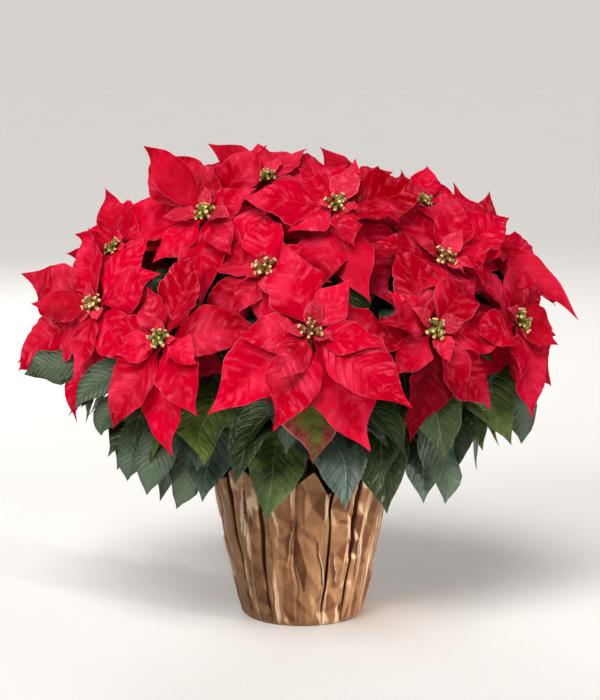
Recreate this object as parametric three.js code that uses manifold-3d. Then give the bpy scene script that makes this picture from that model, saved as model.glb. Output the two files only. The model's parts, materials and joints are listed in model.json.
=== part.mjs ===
// A red poinsettia in a grower's pot, dressed with a pleated sleeve of foil paper.
// Millimetres, +Z up. The origin is the middle of the sleeve's underside, and the front faces -Y.

import * as THREE from "three";
import { mergeVertices } from "three/addons/utils/BufferGeometryUtils.js";
import Module from "manifold-3d";

const wasm = await Module();
wasm.setup();
const { degToRad } = THREE.MathUtils;
const UP = new THREE.Vector3(0, 0, 1);

// ---- Driving dimensions ----------------------------------------------------------------------

const CLEAR = 0.3; // gap kept between pieces that rest on each other

// Foil sleeve: [height, outer radius, share of the pleat depth] from the underside to the top edge.
const SLEEVE_LEVELS = [
  [0, 55.5, 0],
  [4, 58.5, 0.6],
  [54, 69, 1],
  [106, 79.5, 0.9],
  [142, 88, 1.3],
];
const SLEEVE_WALL = 0.9;
const PLEATS = 16;
const PLEAT_DEPTH = 3.4;
// One pleat: [share of the pleat's width, rise of the foil]; the -1 is the sharp valley between two folds.
const PLEAT_SHAPE = [
  [0, 0.1],
  [0.48, 0.2],
  [0.76, -1],
];
const EDGE_POINTS = 8; // points cut along the sleeve's top edge
const EDGE_POINT_HEIGHT = 17;
const EDGE_POINT_LEAST = 0.6; // the lowest point's share of that height
// How unlike the folds are: sideways, as shares of a pleat's width, and in their share of the depth.
const PLEAT_SPREAD = { shift: 0.22, wander: 0.12, least: 0.75, most: 1.1 };

// Grower's pot.
const POT = {
  bottom: SLEEVE_WALL + CLEAR,
  top: 122,
  band: 17,
  baseRadius: 51.5,
  wallRadius: 70,
  rimRadius: 74,
  innerBase: 50,
  innerTop: 71.5,
  floor: 2.4,
  facets: 32,
};
const DRAIN = { count: 5, radius: 5, ring: 36, facets: 6 };

// Soil: [radius, height] of its gently mounded surface, from the pot wall to the middle.
const SOIL_SURFACE = [
  [69.3, 112],
  [54, 114.5],
  [30, 116.5],
  [0, 117],
];

// Main stems stand in a ring in the soil, lean outwards and fork well below the blooms.
const STEM = { radius: 5, topRadius: 4.4, foot: 85, footRing: 26, fork: 180, forkRing: 38, facets: 6 };
const BRANCH = { radius: 3, facets: 5, steps: 5, straight: 0.42 };

// A bloom's receptacle, from which its bracts grow, and the flower cluster on top of it.
const HUB = { height: 12, radius: 5, footRadius: 3.6, facets: 6 };
const ROOT_OFFSET = 2.4; // how far from the receptacle's middle a bract's root lies
const CLUSTER = { buds: 7, foot: 5, reach: 10, height: 8, pitReach: 6.4, pitHeight: 3.5 };

// Blades: thickness at the midrib, and what is added to a blade when its neighbours are tested.
const MIDRIB = 1.3;
const TEST_MARGIN = { midrib: 2.6, spread: 1 };

// Outlines: [share of the length, share of the half width] at each row between root and tip.
const OUTLINES = {
  large: [
    [0.1, 0.13],
    [0.33, 0.94],
    [0.58, 0.98],
    [0.82, 0.38],
  ],
  medium: [
    [0.12, 0.15],
    [0.44, 1],
    [0.76, 0.5],
  ],
  small: [
    [0.3, 0.85],
    [0.66, 0.85],
  ],
  leaf: [
    [0.3, 0.1],
    [0.52, 1],
    [0.8, 0.68],
  ],
};
const LARGE_FROM = 86; // a bract this long has the large outline
const MEDIUM_FROM = 42;

// Where no hand-set bracts are given, a star has these: number, share of the bloom's size, turn.
const STAR_RINGS = [
  { count: 5, share: 1, offset: 0 },
  { count: 4, share: 0.68, offset: 36 },
];
const HEART_RING = { count: 3, shortest: 27, longest: 37, offset: 25 };
const STAR_SPREAD = { clock: 18, shortest: 0.92, longest: 1.06 };

// How bracts change from the lowest and longest to the heart of their bloom: the height of the root
// above the receptacle's foot, the lift of the near half out of the bloom's plane and the curl of the
// far half, in degrees. Bracts on the uphill side of a tilted bloom lift a little more.
const BRACT = {
  root: [1.5, 8],
  lift: [-6, 28],
  curl: [28, 12],
  uphill: 8,
  halfWidth: 0.255,
  smallHalfWidth: 0.3,
};

// The range of each small irregularity. Roll in degrees, cup and skew as shares of the half width.
const TEMPER = {
  roll: [-15, 15],
  cup: [-0.12, 0.22],
  skew: [-0.11, 0.11],
  wave: [1.5, 4.5],
  fullness: [0.92, 1.08],
};
const EDGE_PHASE = { right: 1.7, perRow: 2.1 };

// The five stems by the direction they lean in, in degrees round from the front.
const STEMS = { front: 0, right: 72, back_right: 144, back_left: -144, left: -72 };

// Blooms: the stem that carries each, where its flower cluster sits, the way it faces (turn round from
// the front, rise above the horizon), and its size or its own bracts as [clock angle, length, raise].
// Leafy blooms have leaves all along their branch, and the others only close under the bracts.
const BLOOMS = [
  {
    stem: "front", at: [7, -184, 300], turn: 3, rise: 36, leafy: true,
    bracts: [
      [148, 114], [130, 112], [-124, 112], [82, 98], [-14, 90], [204, 92],
      [179, 118, -16], [-96, 64], [40, 58], [108, 64], [-146, 60],
    ],
  },
  {
    stem: "left", at: [-125, -138, 286], turn: -30, rise: 27, leafy: true,
    bracts: [
      [178, 104], [-146, 96], [10, 86], [74, 92], [140, 80], [-76, 58], [112, 52], [-28, 50], [-112, 52],
    ],
  },
  {
    stem: "right", at: [117, -134, 294], turn: 27, rise: 32, leafy: true,
    bracts: [
      [134, 100], [-2, 92], [94, 90], [48, 84], [191, 100, -12], [-128, 60], [-78, 56], [165, 64], [-40, 52],
    ],
  },
  {
    stem: "left", at: [-89, -62, 391], turn: -24, rise: 42, leafy: false,
    bracts: [
      [-49, 108, 20], [24, 90, 10], [-96, 96], [172, 88], [98, 76], [-140, 64], [136, 56], [0, 48], [60, 52],
    ],
  },
  {
    stem: "front", at: [31, -80, 400], turn: 5, rise: 45, leafy: false,
    bracts: [
      [-164, 92], [142, 102], [70, 100, 4], [-84, 92, 6], [20, 56], [-124, 54], [164, 50], [112, 60],
      [-30, 62],
    ],
  },
  {
    stem: "front", at: [-33, -132, 347], turn: -18, rise: 40, leafy: false,
    bracts: [[-122, 92], [-60, 76], [-14, 70], [168, 60], [96, 60], [-150, 50], [52, 44]],
  },
  {
    stem: "left", at: [-190, -72, 308], turn: -40, rise: 26, leafy: true,
    bracts: [
      [-162, 114], [-119, 130, 12], [-80, 114, 8], [-34, 92], [18, 84], [66, 80], [130, 84], [180, 66],
      [-100, 58],
    ],
  },
  {
    stem: "right", at: [129, -70, 351], turn: 34, rise: 40, leafy: false,
    bracts: [
      [70, 100], [-8, 88], [122, 92], [-72, 72], [170, 62], [35, 72], [-130, 56], [95, 56],
    ],
  },
  {
    stem: "right", at: [200, -72, 292], turn: 52, rise: 24, leafy: true,
    bracts: [
      [84, 104], [132, 92], [176, 90], [30, 84], [-30, 84], [-90, 70], [108, 60], [60, 58], [-150, 60],
    ],
  },
  {
    stem: "left", at: [-178, -10, 352], turn: -50, rise: 48, leafy: false,
    bracts: [
      [4, 116, 12], [-50, 104, 8], [-104, 112], [-150, 96], [60, 90], [120, 80], [-20, 60], [90, 56],
    ],
  },
  {
    stem: "right", at: [176, -2, 362], turn: 62, rise: 44, leafy: false,
    bracts: [
      [14, 70], [70, 90], [121, 142, 12], [160, 86], [-50, 84], [-110, 76], [96, 60], [40, 56],
    ],
  },
  {
    stem: "right", at: [114, 10, 396], turn: 46, rise: 58, leafy: false,
    bracts: [
      [20, 58], [66, 74], [118, 88], [168, 84], [-40, 80], [-98, 78], [44, 54], [95, 54],
    ],
  },
  {
    stem: "back_left", at: [-34, 8, 418], turn: -20, rise: 66, leafy: false,
    bracts: [
      [-58, 100, 12], [-10, 88, 8], [46, 84], [104, 84], [172, 80], [-118, 84], [-30, 56], [28, 56],
    ],
  },
  { stem: "back_right", at: [50, 62, 402], turn: 140, rise: 74, size: 96, spin: 0, leafy: false },
  { stem: "right", at: [46, -8, 408], turn: 40, rise: 78, size: 82, spin: 50, leafy: false },
  { stem: "left", at: [-208, 22, 290], turn: -62, rise: 26, size: 104, spin: 22, leafy: true },
  { stem: "back_right", at: [4, 186, 298], turn: 179, rise: 30, size: 112, spin: 15, leafy: true },
  { stem: "back_left", at: [-124, 142, 290], turn: -139, rise: 28, size: 108, spin: 50, leafy: true },
  { stem: "back_right", at: [128, 142, 292], turn: 138, rise: 28, size: 108, spin: 5, leafy: true },
  { stem: "back_left", at: [-104, 74, 388], turn: -125, rise: 52, size: 102, spin: 65, leafy: false },
  { stem: "back_right", at: [-22, 126, 372], turn: -172, rise: 48, size: 100, spin: 30, leafy: false },
  { stem: "back_left", at: [-186, 108, 298], turn: -118, rise: 28, size: 98, spin: 12, leafy: true },
  { stem: "back_right", at: [192, 66, 302], turn: 108, rise: 28, size: 104, spin: 44, leafy: true },
];

// Leaves on a branch, from its fork outwards: how far along it, how far each turns sideways from it,
// and how its blade hangs below the horizon.
const LEAVES = [
  { along: 0.24, splay: -34, petiole: 44, blade: 104, hang: 74 },
  { along: 0.34, splay: 34, petiole: 44, blade: 102, hang: 68 },
  { along: 0.46, splay: -62, petiole: 42, blade: 100, hang: 52 },
  { along: 0.57, splay: 62, petiole: 40, blade: 98, hang: 48 },
  { along: 0.68, splay: -16, petiole: 34, blade: 94, hang: 46 },
];
const UPPER_LEAVES = [
  { along: 0.8, splay: -70, petiole: 30, blade: 88, hang: 20 },
  { along: 0.86, splay: 70, petiole: 28, blade: 86, hang: 20 },
  { along: 0.74, splay: 0, petiole: 30, blade: 90, hang: 34 },
];
const LEAF = {
  halfWidth: 0.28, // as a share of the blade's length
  petioleRise: 12,
  bladeTurn: 0.7, // how much of its petiole's sideways turn a hanging blade keeps
  swing: 28, // how far the leaves at the sides swing round to face the front
  hangSpread: 12,
  turnSpread: 16,
};

// Ways to bend a blade clear of its neighbours, the gentlest first. Angles in degrees.
const BENDS = [];
for (const scale of [1, 0.92, 0.84, 0.74, 0.62]) {
  for (const turn of [0, 8, -8, 16, -16, 25, -25]) {
    for (const lift of [0, -6, 6, -12, 12, -19, 19, -27, 27]) {
      BENDS.push({ scale, turn, lift });
    }
  }
}

// ---- Helpers ---------------------------------------------------------------------------------

/** A repeatable source of numbers from 0 to 1. */
function seeded(seed) {
  let state = seed;
  return () => {
    state = (state * 1664525 + 1013904223) % 4294967296;
    return state / 4294967296;
  };
}

function between(low, high, share) {
  return low + (high - low) * share;
}

/** The unit vector that points `turn` degrees round from the front and `rise` above the horizon. */
function facing(turn, rise) {
  const level = Math.cos(degToRad(rise));
  return new THREE.Vector3(
    Math.sin(degToRad(turn)) * level,
    -Math.cos(degToRad(turn)) * level,
    Math.sin(degToRad(rise)),
  );
}

function solidOf(geometry) {
  const bare = new THREE.BufferGeometry();
  bare.setAttribute("position", geometry.getAttribute("position"));
  bare.setIndex(geometry.index);
  const merged = mergeVertices(bare, 1e-4);
  return new wasm.Manifold(
    new wasm.Mesh({
      numProp: 3,
      vertProperties: merged.getAttribute("position").array,
      triVerts: new Uint32Array(merged.index.array),
    }),
  );
}

function geometryOf(solid) {
  const mesh = solid.getMesh();
  const geometry = new THREE.BufferGeometry();
  geometry.setAttribute("position", new THREE.BufferAttribute(mesh.vertProperties, 3));
  geometry.setIndex(new THREE.BufferAttribute(mesh.triVerts, 1));
  geometry.computeVertexNormals();
  return geometry;
}

/** One closed geometry made of several that run into each other. */
function fused(geometries) {
  return geometryOf(geometries.map(solidOf).reduce((whole, piece) => whole.add(piece)));
}

function geometryFrom(points, faces) {
  const geometry = new THREE.BufferGeometry();
  geometry.setAttribute("position", new THREE.Float32BufferAttribute(points.flatMap((p) => p.toArray()), 3));
  geometry.setIndex(faces);
  return geometry;
}

/** A straight round piece between two points. */
function rod(from, to, fromRadius, toRadius, facets) {
  const along = new THREE.Vector3().subVectors(to, from);
  const geometry = new THREE.CylinderGeometry(toRadius, fromRadius, along.length(), facets);
  geometry.applyQuaternion(
    new THREE.Quaternion().setFromUnitVectors(new THREE.Vector3(0, 1, 0), along.clone().normalize()),
  );
  return geometry.translate(...from.clone().addScaledVector(along, 0.5).toArray());
}

/** A round tube along a curve. */
function tube(curve, radius, facets, steps) {
  const section = new THREE.Shape();
  for (let i = 0; i < facets; i++) {
    const angle = (i / facets) * 2 * Math.PI;
    const corner = [radius * Math.cos(angle), radius * Math.sin(angle)];
    if (i === 0) section.moveTo(...corner);
    else section.lineTo(...corner);
  }
  section.closePath();
  return new THREE.ExtrudeGeometry(section, { steps, extrudePath: curve, bevelEnabled: false });
}

// ---- Blades: bracts and leaves ---------------------------------------------------------------

/**
 * A blade's corner points: its root, four points for each row of its outline (left edge, upper midrib,
 * right edge, lower midrib) and its tip. The spine is a quadratic curve over root, knee and tip.
 */
function bladePoints(blade, midrib = MIDRIB, spread = 0) {
  const spine = new THREE.QuadraticBezierCurve3(blade.root, blade.knee, blade.tip);
  const points = [blade.root];
  blade.outline.forEach(([along, share], row) => {
    const middle = spine.getPoint(along);
    const tangent = spine.getTangent(along);
    const across = blade.side.clone().addScaledVector(tangent, -blade.side.dot(tangent)).normalize();
    const raised = new THREE.Vector3().crossVectors(tangent, across);
    const half = blade.halfWidth * share + spread;
    const ripple = (phase) =>
      blade.wave * share * Math.sin(blade.phase + phase + EDGE_PHASE.perRow * row);
    const rim = (way, phase) =>
      middle
        .clone()
        .addScaledVector(across, way * half * (1 + way * blade.skew))
        .addScaledVector(raised, blade.cup * half + ripple(phase));
    points.push(
      rim(1, 0),
      middle.clone().addScaledVector(raised, midrib / 2),
      rim(-1, EDGE_PHASE.right),
      middle.clone().addScaledVector(raised, -midrib / 2),
    );
  });
  points.push(blade.tip);
  return points;
}

/** The triangles over those points. Both faces of a blade are split along the same diagonals. */
function bladeFaces(rows) {
  const faces = [];
  const corner = (row, i) => 1 + 4 * row + (i % 4);
  const tip = 1 + 4 * rows;
  for (let i = 0; i < 4; i++) faces.push(0, corner(0, i + 1), corner(0, i));
  for (let row = 0; row + 1 < rows; row++) {
    for (let i = 0; i < 4; i++) {
      const [a, b] = [corner(row, i), corner(row, i + 1)];
      const [c, d] = [corner(row + 1, i), corner(row + 1, i + 1)];
      if (i % 2 === 0) faces.push(a, b, d, a, d, c);
      else faces.push(a, b, c, b, d, c);
    }
  }
  for (let i = 0; i < 4; i++) faces.push(corner(rows - 1, i), corner(rows - 1, i + 1), tip);
  return faces;
}

/** The small irregularities of one blade. */
function temperament(random) {
  const draw = ([low, high]) => between(low, high, random());
  return {
    roll: draw(TEMPER.roll),
    cup: draw(TEMPER.cup),
    skew: draw(TEMPER.skew),
    wave: draw(TEMPER.wave),
    phase: random() * 2 * Math.PI,
    fullness: draw(TEMPER.fullness),
  };
}

/** A bract in its bloom's own frame: +Z is the way the bloom faces, and clock angle 0 is +Y. */
function bract(spec, temper, bend) {
  const clock = degToRad(spec.clock + bend.turn);
  const length = spec.length * bend.scale;
  const out = new THREE.Vector3(Math.sin(clock), Math.cos(clock), 0);
  const level = new THREE.Vector3(-Math.cos(clock), Math.sin(clock), 0);
  const heading = (angle) => out.clone().multiplyScalar(Math.cos(angle)).addScaledVector(UP, Math.sin(angle));
  const lift = degToRad(spec.lift + bend.lift);
  const root = out.clone().multiplyScalar(ROOT_OFFSET).setZ(spec.height);
  const knee = root.clone().addScaledVector(heading(lift), length / 2);
  const tip = knee.clone().addScaledVector(heading(lift - degToRad(spec.curl)), length / 2);
  return {
    root,
    knee,
    tip,
    side: level.applyAxisAngle(heading(lift), degToRad(temper.roll)),
    halfWidth: length * spec.halfWidth * temper.fullness,
    outline: OUTLINES[spec.outline],
    cup: temper.cup,
    skew: temper.skew,
    wave: spec.outline === "small" ? 0 : temper.wave,
    phase: temper.phase,
  };
}

/** A leaf on its branch: a petiole that runs out sideways and a blade that hangs from it. */
function leaf(spec, temper, bend) {
  const turn = spec.turn + bend.turn;
  const root = spec.root;
  const knee = root.clone().addScaledVector(facing(turn + spec.splay, LEAF.petioleRise), spec.petiole);
  const bladeTurn = turn + spec.splay * LEAF.bladeTurn;
  const blade = facing(bladeTurn, bend.lift - spec.hang);
  const tip = knee.clone().addScaledVector(blade, spec.blade * bend.scale);
  const swing = LEAF.swing * Math.sin(degToRad(turn));
  const level = new THREE.Vector3().crossVectors(UP, facing(bladeTurn - swing, 0));
  return {
    root,
    knee,
    tip,
    side: level.applyAxisAngle(blade, degToRad(temper.roll)),
    halfWidth: spec.blade * bend.scale * LEAF.halfWidth * temper.fullness,
    outline: OUTLINES.leaf,
    cup: temper.cup,
    skew: temper.skew,
    wave: temper.wave,
    phase: temper.phase,
  };
}

// ---- Keeping blades clear of each other ------------------------------------------------------

const ray = new THREE.Ray();
const meeting = new THREE.Vector3();

function pierces(from, to, face) {
  ray.origin.copy(from);
  ray.direction.subVectors(to, from).normalize();
  const met = ray.intersectTriangle(face.a, face.b, face.c, false, meeting);
  return met !== null && met.distanceTo(from) <= to.distanceTo(from);
}

/** The triangles of a shape in the object's frame, each with its box, for the crossing test. */
function obstacle(points, faces, firstFace = 0) {
  const box = new THREE.Box3();
  const triangles = [];
  for (let i = 3 * firstFace; i < faces.length; i += 3) {
    const [a, b, c] = [points[faces[i]], points[faces[i + 1]], points[faces[i + 2]]];
    const own = new THREE.Box3().setFromPoints([a, b, c]);
    box.union(own);
    triangles.push({ a, b, c, box: own });
  }
  return { box, triangles };
}

function obstacleFrom(geometry, frame) {
  const whole = geometry.index ? geometry.toNonIndexed() : geometry;
  const position = whole.getAttribute("position");
  const points = Array.from({ length: position.count }, (_, i) =>
    new THREE.Vector3().fromBufferAttribute(position, i).applyMatrix4(frame),
  );
  return obstacle(points, points.map((_, i) => i));
}

function cross(one, other) {
  if (!one.box.intersectsBox(other.box)) return false;
  for (const p of one.triangles) {
    if (!p.box.intersectsBox(other.box)) continue;
    for (const q of other.triangles) {
      if (!p.box.intersectsBox(q.box)) continue;
      if (pierces(p.a, p.b, q) || pierces(p.b, p.c, q) || pierces(p.c, p.a, q)) return true;
      if (pierces(q.a, q.b, p) || pierces(q.b, q.c, p) || pierces(q.c, q.a, p)) return true;
    }
  }
  return false;
}

/**
 * Bends a blade until it clears every obstacle placed so far, adds it to them and returns it. What
 * grows from the same piece, its `kin`, is tested without the faces at the root, and `parent`, that
 * piece itself, isn't tested. Returns null where no bend is clear.
 */
function placeBlade(make, frame, placed, kin, parent) {
  for (const bend of BENDS) {
    const blade = make(bend);
    const faces = bladeFaces(blade.outline.length);
    const points = bladePoints(blade, TEST_MARGIN.midrib, TEST_MARGIN.spread).map((p) =>
      p.clone().applyMatrix4(frame),
    );
    const whole = { ...obstacle(points, faces), kin };
    const free = obstacle(points, faces, 4);
    const blocked = placed.some((other) => {
      if (other === parent) return false;
      if (other.kin === kin) return cross(free, other.free);
      return cross(whole, other);
    });
    if (blocked) continue;
    placed.push({ ...whole, free });
    return blade;
  }
  return null;
}

// ---- Pot cover, pot and soil -----------------------------------------------------------------

/** The sleeve's corners at each level: their angles round the pot and the rise of the foil there. */
function pleatCorners() {
  const random = seeded(411);
  const folds = Array.from({ length: PLEATS }, () => ({
    shift: (random() - 0.5) * PLEAT_SPREAD.shift,
    depth: between(PLEAT_SPREAD.least, PLEAT_SPREAD.most, random()),
    wander: SLEEVE_LEVELS.map(() => (random() - 0.5) * PLEAT_SPREAD.wander),
    peak: between(EDGE_POINT_LEAST, 1, random()),
  }));
  return SLEEVE_LEVELS.map((_, level) =>
    folds.flatMap((fold, pleat) =>
      PLEAT_SHAPE.map(([share, rise]) => ({
        angle: ((pleat + fold.shift + fold.wander[level] + share) / PLEATS) * 2 * Math.PI,
        rise: rise * fold.depth,
        peak: fold.peak,
      })),
    ),
  );
}

/** One skin of the sleeve: its rows of points, pushed inwards by `inset` and no lower than `floor`. */
function sleeveSkin(inset, floor) {
  const corners = pleatCorners();
  const period = (PLEATS * PLEAT_SHAPE.length) / EDGE_POINTS;
  return SLEEVE_LEVELS.map(([height, radius, fold], level) =>
    corners[level].map(({ angle, rise, peak }, i) => {
      const zigzag = 1 - Math.abs(((i + 2) % period) / (period / 2) - 1);
      const reach = radius + rise * fold * PLEAT_DEPTH - inset;
      const edge = level === SLEEVE_LEVELS.length - 1 ? zigzag * peak * EDGE_POINT_HEIGHT : 0;
      const z = Math.max(height, floor) + edge;
      return new THREE.Vector3(reach * Math.cos(angle), reach * Math.sin(angle), z);
    }),
  );
}

function sleeveGeometry() {
  const outer = sleeveSkin(0, 0);
  const inner = sleeveSkin(SLEEVE_WALL, SLEEVE_WALL);
  const rings = [...outer, ...inner.reverse()];
  const count = rings[0].length;
  const points = [...rings.flat(), new THREE.Vector3(0, 0, 0), new THREE.Vector3(0, 0, SLEEVE_WALL)];
  const faces = [];
  for (let ring = 0; ring + 1 < rings.length; ring++) {
    for (let i = 0; i < count; i++) {
      const j = (i + 1) % count;
      const [a, b] = [ring * count + i, ring * count + j];
      faces.push(a, b, b + count, a, b + count, a + count);
    }
  }
  const [underside, inside] = [points.length - 2, points.length - 1];
  const last = (rings.length - 1) * count;
  for (let i = 0; i < count; i++) {
    const j = (i + 1) % count;
    faces.push(underside, j, i, inside, last + i, last + j);
  }
  return geometryFrom(points, faces);
}

/** A turned piece, from [radius, height] pairs that start and end on the axis. */
function turned(profile) {
  const geometry = new THREE.LatheGeometry(
    profile.map(([radius, height]) => new THREE.Vector2(radius, height)),
    POT.facets,
  );
  return geometry.rotateX(Math.PI / 2);
}

function potGeometry() {
  const wall = turned([
    [0, POT.bottom],
    [POT.baseRadius, POT.bottom],
    [POT.wallRadius, POT.top - POT.band],
    [POT.rimRadius, POT.top - POT.band],
    [POT.rimRadius, POT.top],
    [POT.innerTop, POT.top],
    [POT.innerBase, POT.bottom + POT.floor],
    [0, POT.bottom + POT.floor],
  ]);
  let pot = solidOf(wall);
  for (let i = 0; i < DRAIN.count; i++) {
    const angle = (i / DRAIN.count) * 2 * Math.PI;
    const [x, y] = [DRAIN.ring * Math.cos(angle), DRAIN.ring * Math.sin(angle)];
    const foot = new THREE.Vector3(x, y, 0);
    const head = new THREE.Vector3(x, y, POT.bottom + 2 * POT.floor);
    pot = pot.subtract(solidOf(rod(foot, head, DRAIN.radius, DRAIN.radius, DRAIN.facets)));
  }
  return geometryOf(pot);
}

/** The line a main stem stands on: its foot in the soil and the point where it forks. */
function stemLine(turn) {
  const outward = facing(turn, 0);
  return {
    foot: outward.clone().multiplyScalar(STEM.footRing).setZ(STEM.foot),
    fork: outward.clone().multiplyScalar(STEM.forkRing).setZ(STEM.fork),
  };
}

function soilGeometry() {
  const bottom = POT.bottom + POT.floor + CLEAR;
  const profile = [[0, bottom], [POT.innerBase - CLEAR, bottom], ...SOIL_SURFACE];
  let soil = solidOf(turned(profile));
  const holeFacets = 6;
  const holeRadius = (STEM.radius + CLEAR) / Math.cos(Math.PI / holeFacets);
  for (const turn of Object.values(STEMS)) {
    const { foot, fork } = stemLine(turn);
    const down = new THREE.Vector3().subVectors(foot, fork).normalize();
    const bottomOfHole = foot.clone().addScaledVector(down, CLEAR);
    soil = soil.subtract(solidOf(rod(bottomOfHole, fork, holeRadius, holeRadius, holeFacets)));
  }
  return geometryOf(soil);
}

// ---- Blooms ----------------------------------------------------------------------------------

/** A group that stands where the bloom's cluster sits, with +Z the way the bloom faces. */
function bloomGroup(bloom) {
  const axis = facing(bloom.turn, bloom.rise);
  const upward = UP.clone().addScaledVector(axis, -axis.z).normalize();
  const rightward = new THREE.Vector3().crossVectors(upward, axis);
  const group = new THREE.Group();
  group.position.set(...bloom.at);
  group.quaternion.setFromRotationMatrix(new THREE.Matrix4().makeBasis(rightward, upward, axis));
  group.updateMatrixWorld(true);
  return group;
}

/** A bloom's bracts, the longest and lowest first. */
function bractSpecs(bloom, random) {
  const triples = bloom.bracts ? [...bloom.bracts] : [];
  if (!bloom.bracts) {
    for (const ring of STAR_RINGS) {
      for (let i = 0; i < ring.count; i++) {
        const stray = (random() - 0.5) * STAR_SPREAD.clock;
        const clock = bloom.spin + ring.offset + (360 / ring.count) * i + stray;
        const share = ring.share * between(STAR_SPREAD.shortest, STAR_SPREAD.longest, random());
        triples.push([clock, bloom.size * share]);
      }
    }
  }
  for (let i = 0; i < HEART_RING.count; i++) {
    const clock = HEART_RING.offset + bloom.turn + (360 / HEART_RING.count) * i;
    triples.push([clock, between(HEART_RING.shortest, HEART_RING.longest, random())]);
  }
  triples.sort((one, other) => other[1] - one[1]);
  return triples.map(([clock, length, raise = 0], rank) => {
    const inward = rank / (triples.length - 1);
    const uphill = Math.cos(degToRad(clock)) * Math.cos(degToRad(bloom.rise));
    const outline = length >= LARGE_FROM ? "large" : length >= MEDIUM_FROM ? "medium" : "small";
    return {
      clock,
      length,
      outline,
      height: between(...BRACT.root, inward) - HUB.height,
      lift: between(...BRACT.lift, inward) + BRACT.uphill * uphill + raise,
      curl: between(...BRACT.curl, inward),
      halfWidth: outline === "small" ? BRACT.smallHalfWidth : BRACT.halfWidth,
    };
  });
}

function hubGeometry() {
  const foot = new THREE.Vector3(0, 0, -HUB.height);
  return rod(foot, new THREE.Vector3(), HUB.footRadius, HUB.radius, HUB.facets);
}

/** The flower cluster: a crown of buds round one in the middle. */
function clusterGeometry(turn) {
  const ring = (count, point) =>
    Array.from({ length: count }, (_, i) => {
      const angle = degToRad(turn) + (i / count) * 2 * Math.PI;
      const { reach, z } = point(i);
      return new THREE.Vector3(reach * Math.cos(angle), reach * Math.sin(angle), z);
    });
  const { buds } = CLUSTER;
  const points = [
    new THREE.Vector3(0, 0, CLEAR),
    ...ring(buds, () => ({ reach: CLUSTER.foot, z: CLEAR })),
    ...ring(2 * buds, (i) =>
      i % 2 === 0
        ? { reach: CLUSTER.reach, z: CLUSTER.height }
        : { reach: CLUSTER.pitReach, z: CLUSTER.pitHeight },
    ),
    new THREE.Vector3(0, 0, CLUSTER.height),
  ];
  const faces = [];
  const crest = (i) => 1 + buds + (i % (2 * buds));
  for (let i = 0; i < buds; i++) {
    const [a, b] = [1 + i, 1 + ((i + 1) % buds)];
    const [bud, pit, next] = [crest(2 * i), crest(2 * i + 1), crest(2 * i + 2)];
    const middle = points.length - 1;
    faces.push(0, b, a, a, pit, bud, a, b, pit, b, next, pit, middle, bud, pit, middle, pit, next);
  }
  return geometryFrom(points, faces);
}

// ---- Materials -------------------------------------------------------------------------------

const MATERIALS = {
  foil: new THREE.MeshStandardMaterial({ color: 0xb27d56, roughness: 0.38, metalness: 0.85 }),
  pot: new THREE.MeshStandardMaterial({ color: 0x6b4a38, roughness: 0.6, metalness: 0 }),
  soil: new THREE.MeshStandardMaterial({ color: 0x2a1d14, roughness: 0.95, metalness: 0 }),
  leaf: new THREE.MeshStandardMaterial({ color: 0x2f4a2c, roughness: 0.5, metalness: 0 }),
  bract: new THREE.MeshStandardMaterial({ color: 0xd20f2c, roughness: 0.55, metalness: 0 }),
  cluster: new THREE.MeshStandardMaterial({ color: 0xb8a840, roughness: 0.5, metalness: 0 }),
};

function mesh(name, geometry, material) {
  const made = new THREE.Mesh(geometry, material);
  made.name = name;
  return made;
}

// ---- The object ------------------------------------------------------------------------------

const poinsettia = new THREE.Group();
const sleeve = sleeveGeometry();
poinsettia.add(
  mesh("pot_cover", sleeve, MATERIALS.foil),
  mesh("grower_pot", potGeometry(), MATERIALS.pot),
  mesh("soil", soilGeometry(), MATERIALS.soil),
);

const worldFrame = new THREE.Matrix4();
const placed = [];

// Stems and branches come first, because every blade grows from them or passes between them.
const stemPieces = {};
for (const [name, turn] of Object.entries(STEMS)) {
  const { foot, fork } = stemLine(turn);
  const trunk = rod(foot, fork, STEM.radius, STEM.topRadius, STEM.facets);
  stemPieces[name] = [trunk];
  placed.push(obstacleFrom(trunk, worldFrame));
}
for (const bloom of BLOOMS) {
  const at = new THREE.Vector3(...bloom.at);
  const axis = facing(bloom.turn, bloom.rise);
  const { fork } = stemLine(STEMS[bloom.stem]);
  const straight = BRANCH.straight * fork.distanceTo(at);
  bloom.branch = new THREE.QuadraticBezierCurve3(
    fork,
    at.clone().addScaledVector(axis, -HUB.height - straight),
    at.clone().addScaledVector(axis, -HUB.height - CLEAR),
  );
  const branch = tube(bloom.branch, BRANCH.radius, BRANCH.facets, BRANCH.steps);
  stemPieces[bloom.stem].push(branch);
  bloom.group = bloomGroup(bloom);
  bloom.branchObstacle = obstacleFrom(branch, worldFrame);
  placed.push(bloom.branchObstacle);
}

// Receptacles and flower clusters, then the bracts between them.
BLOOMS.forEach((bloom, i) => {
  bloom.number = String(i + 1).padStart(2, "0");
  const cluster = clusterGeometry(bloom.turn);
  bloom.group.add(mesh(`bloom_${bloom.number}_cluster`, cluster, MATERIALS.cluster));
  bloom.hub = hubGeometry();
  bloom.hubObstacle = obstacleFrom(bloom.hub, bloom.group.matrixWorld);
  placed.push(obstacleFrom(cluster, bloom.group.matrixWorld), bloom.hubObstacle);
});
const random = seeded(1225);
const lost = [];
for (const bloom of BLOOMS) {
  const pieces = [bloom.hub];
  for (const spec of bractSpecs(bloom, random)) {
    const temper = temperament(random);
    const bend = (by) => bract(spec, temper, by);
    const blade = placeBlade(bend, bloom.group.matrixWorld, placed, bloom.hub, bloom.hubObstacle);
    if (blade) pieces.push(geometryFrom(bladePoints(blade), bladeFaces(blade.outline.length)));
    else lost.push(`bloom ${bloom.number} clock ${spec.clock}`);
  }
  bloom.group.add(mesh(`bloom_${bloom.number}_bracts`, fused(pieces), MATERIALS.bract));
  poinsettia.add(bloom.group);
}

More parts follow.
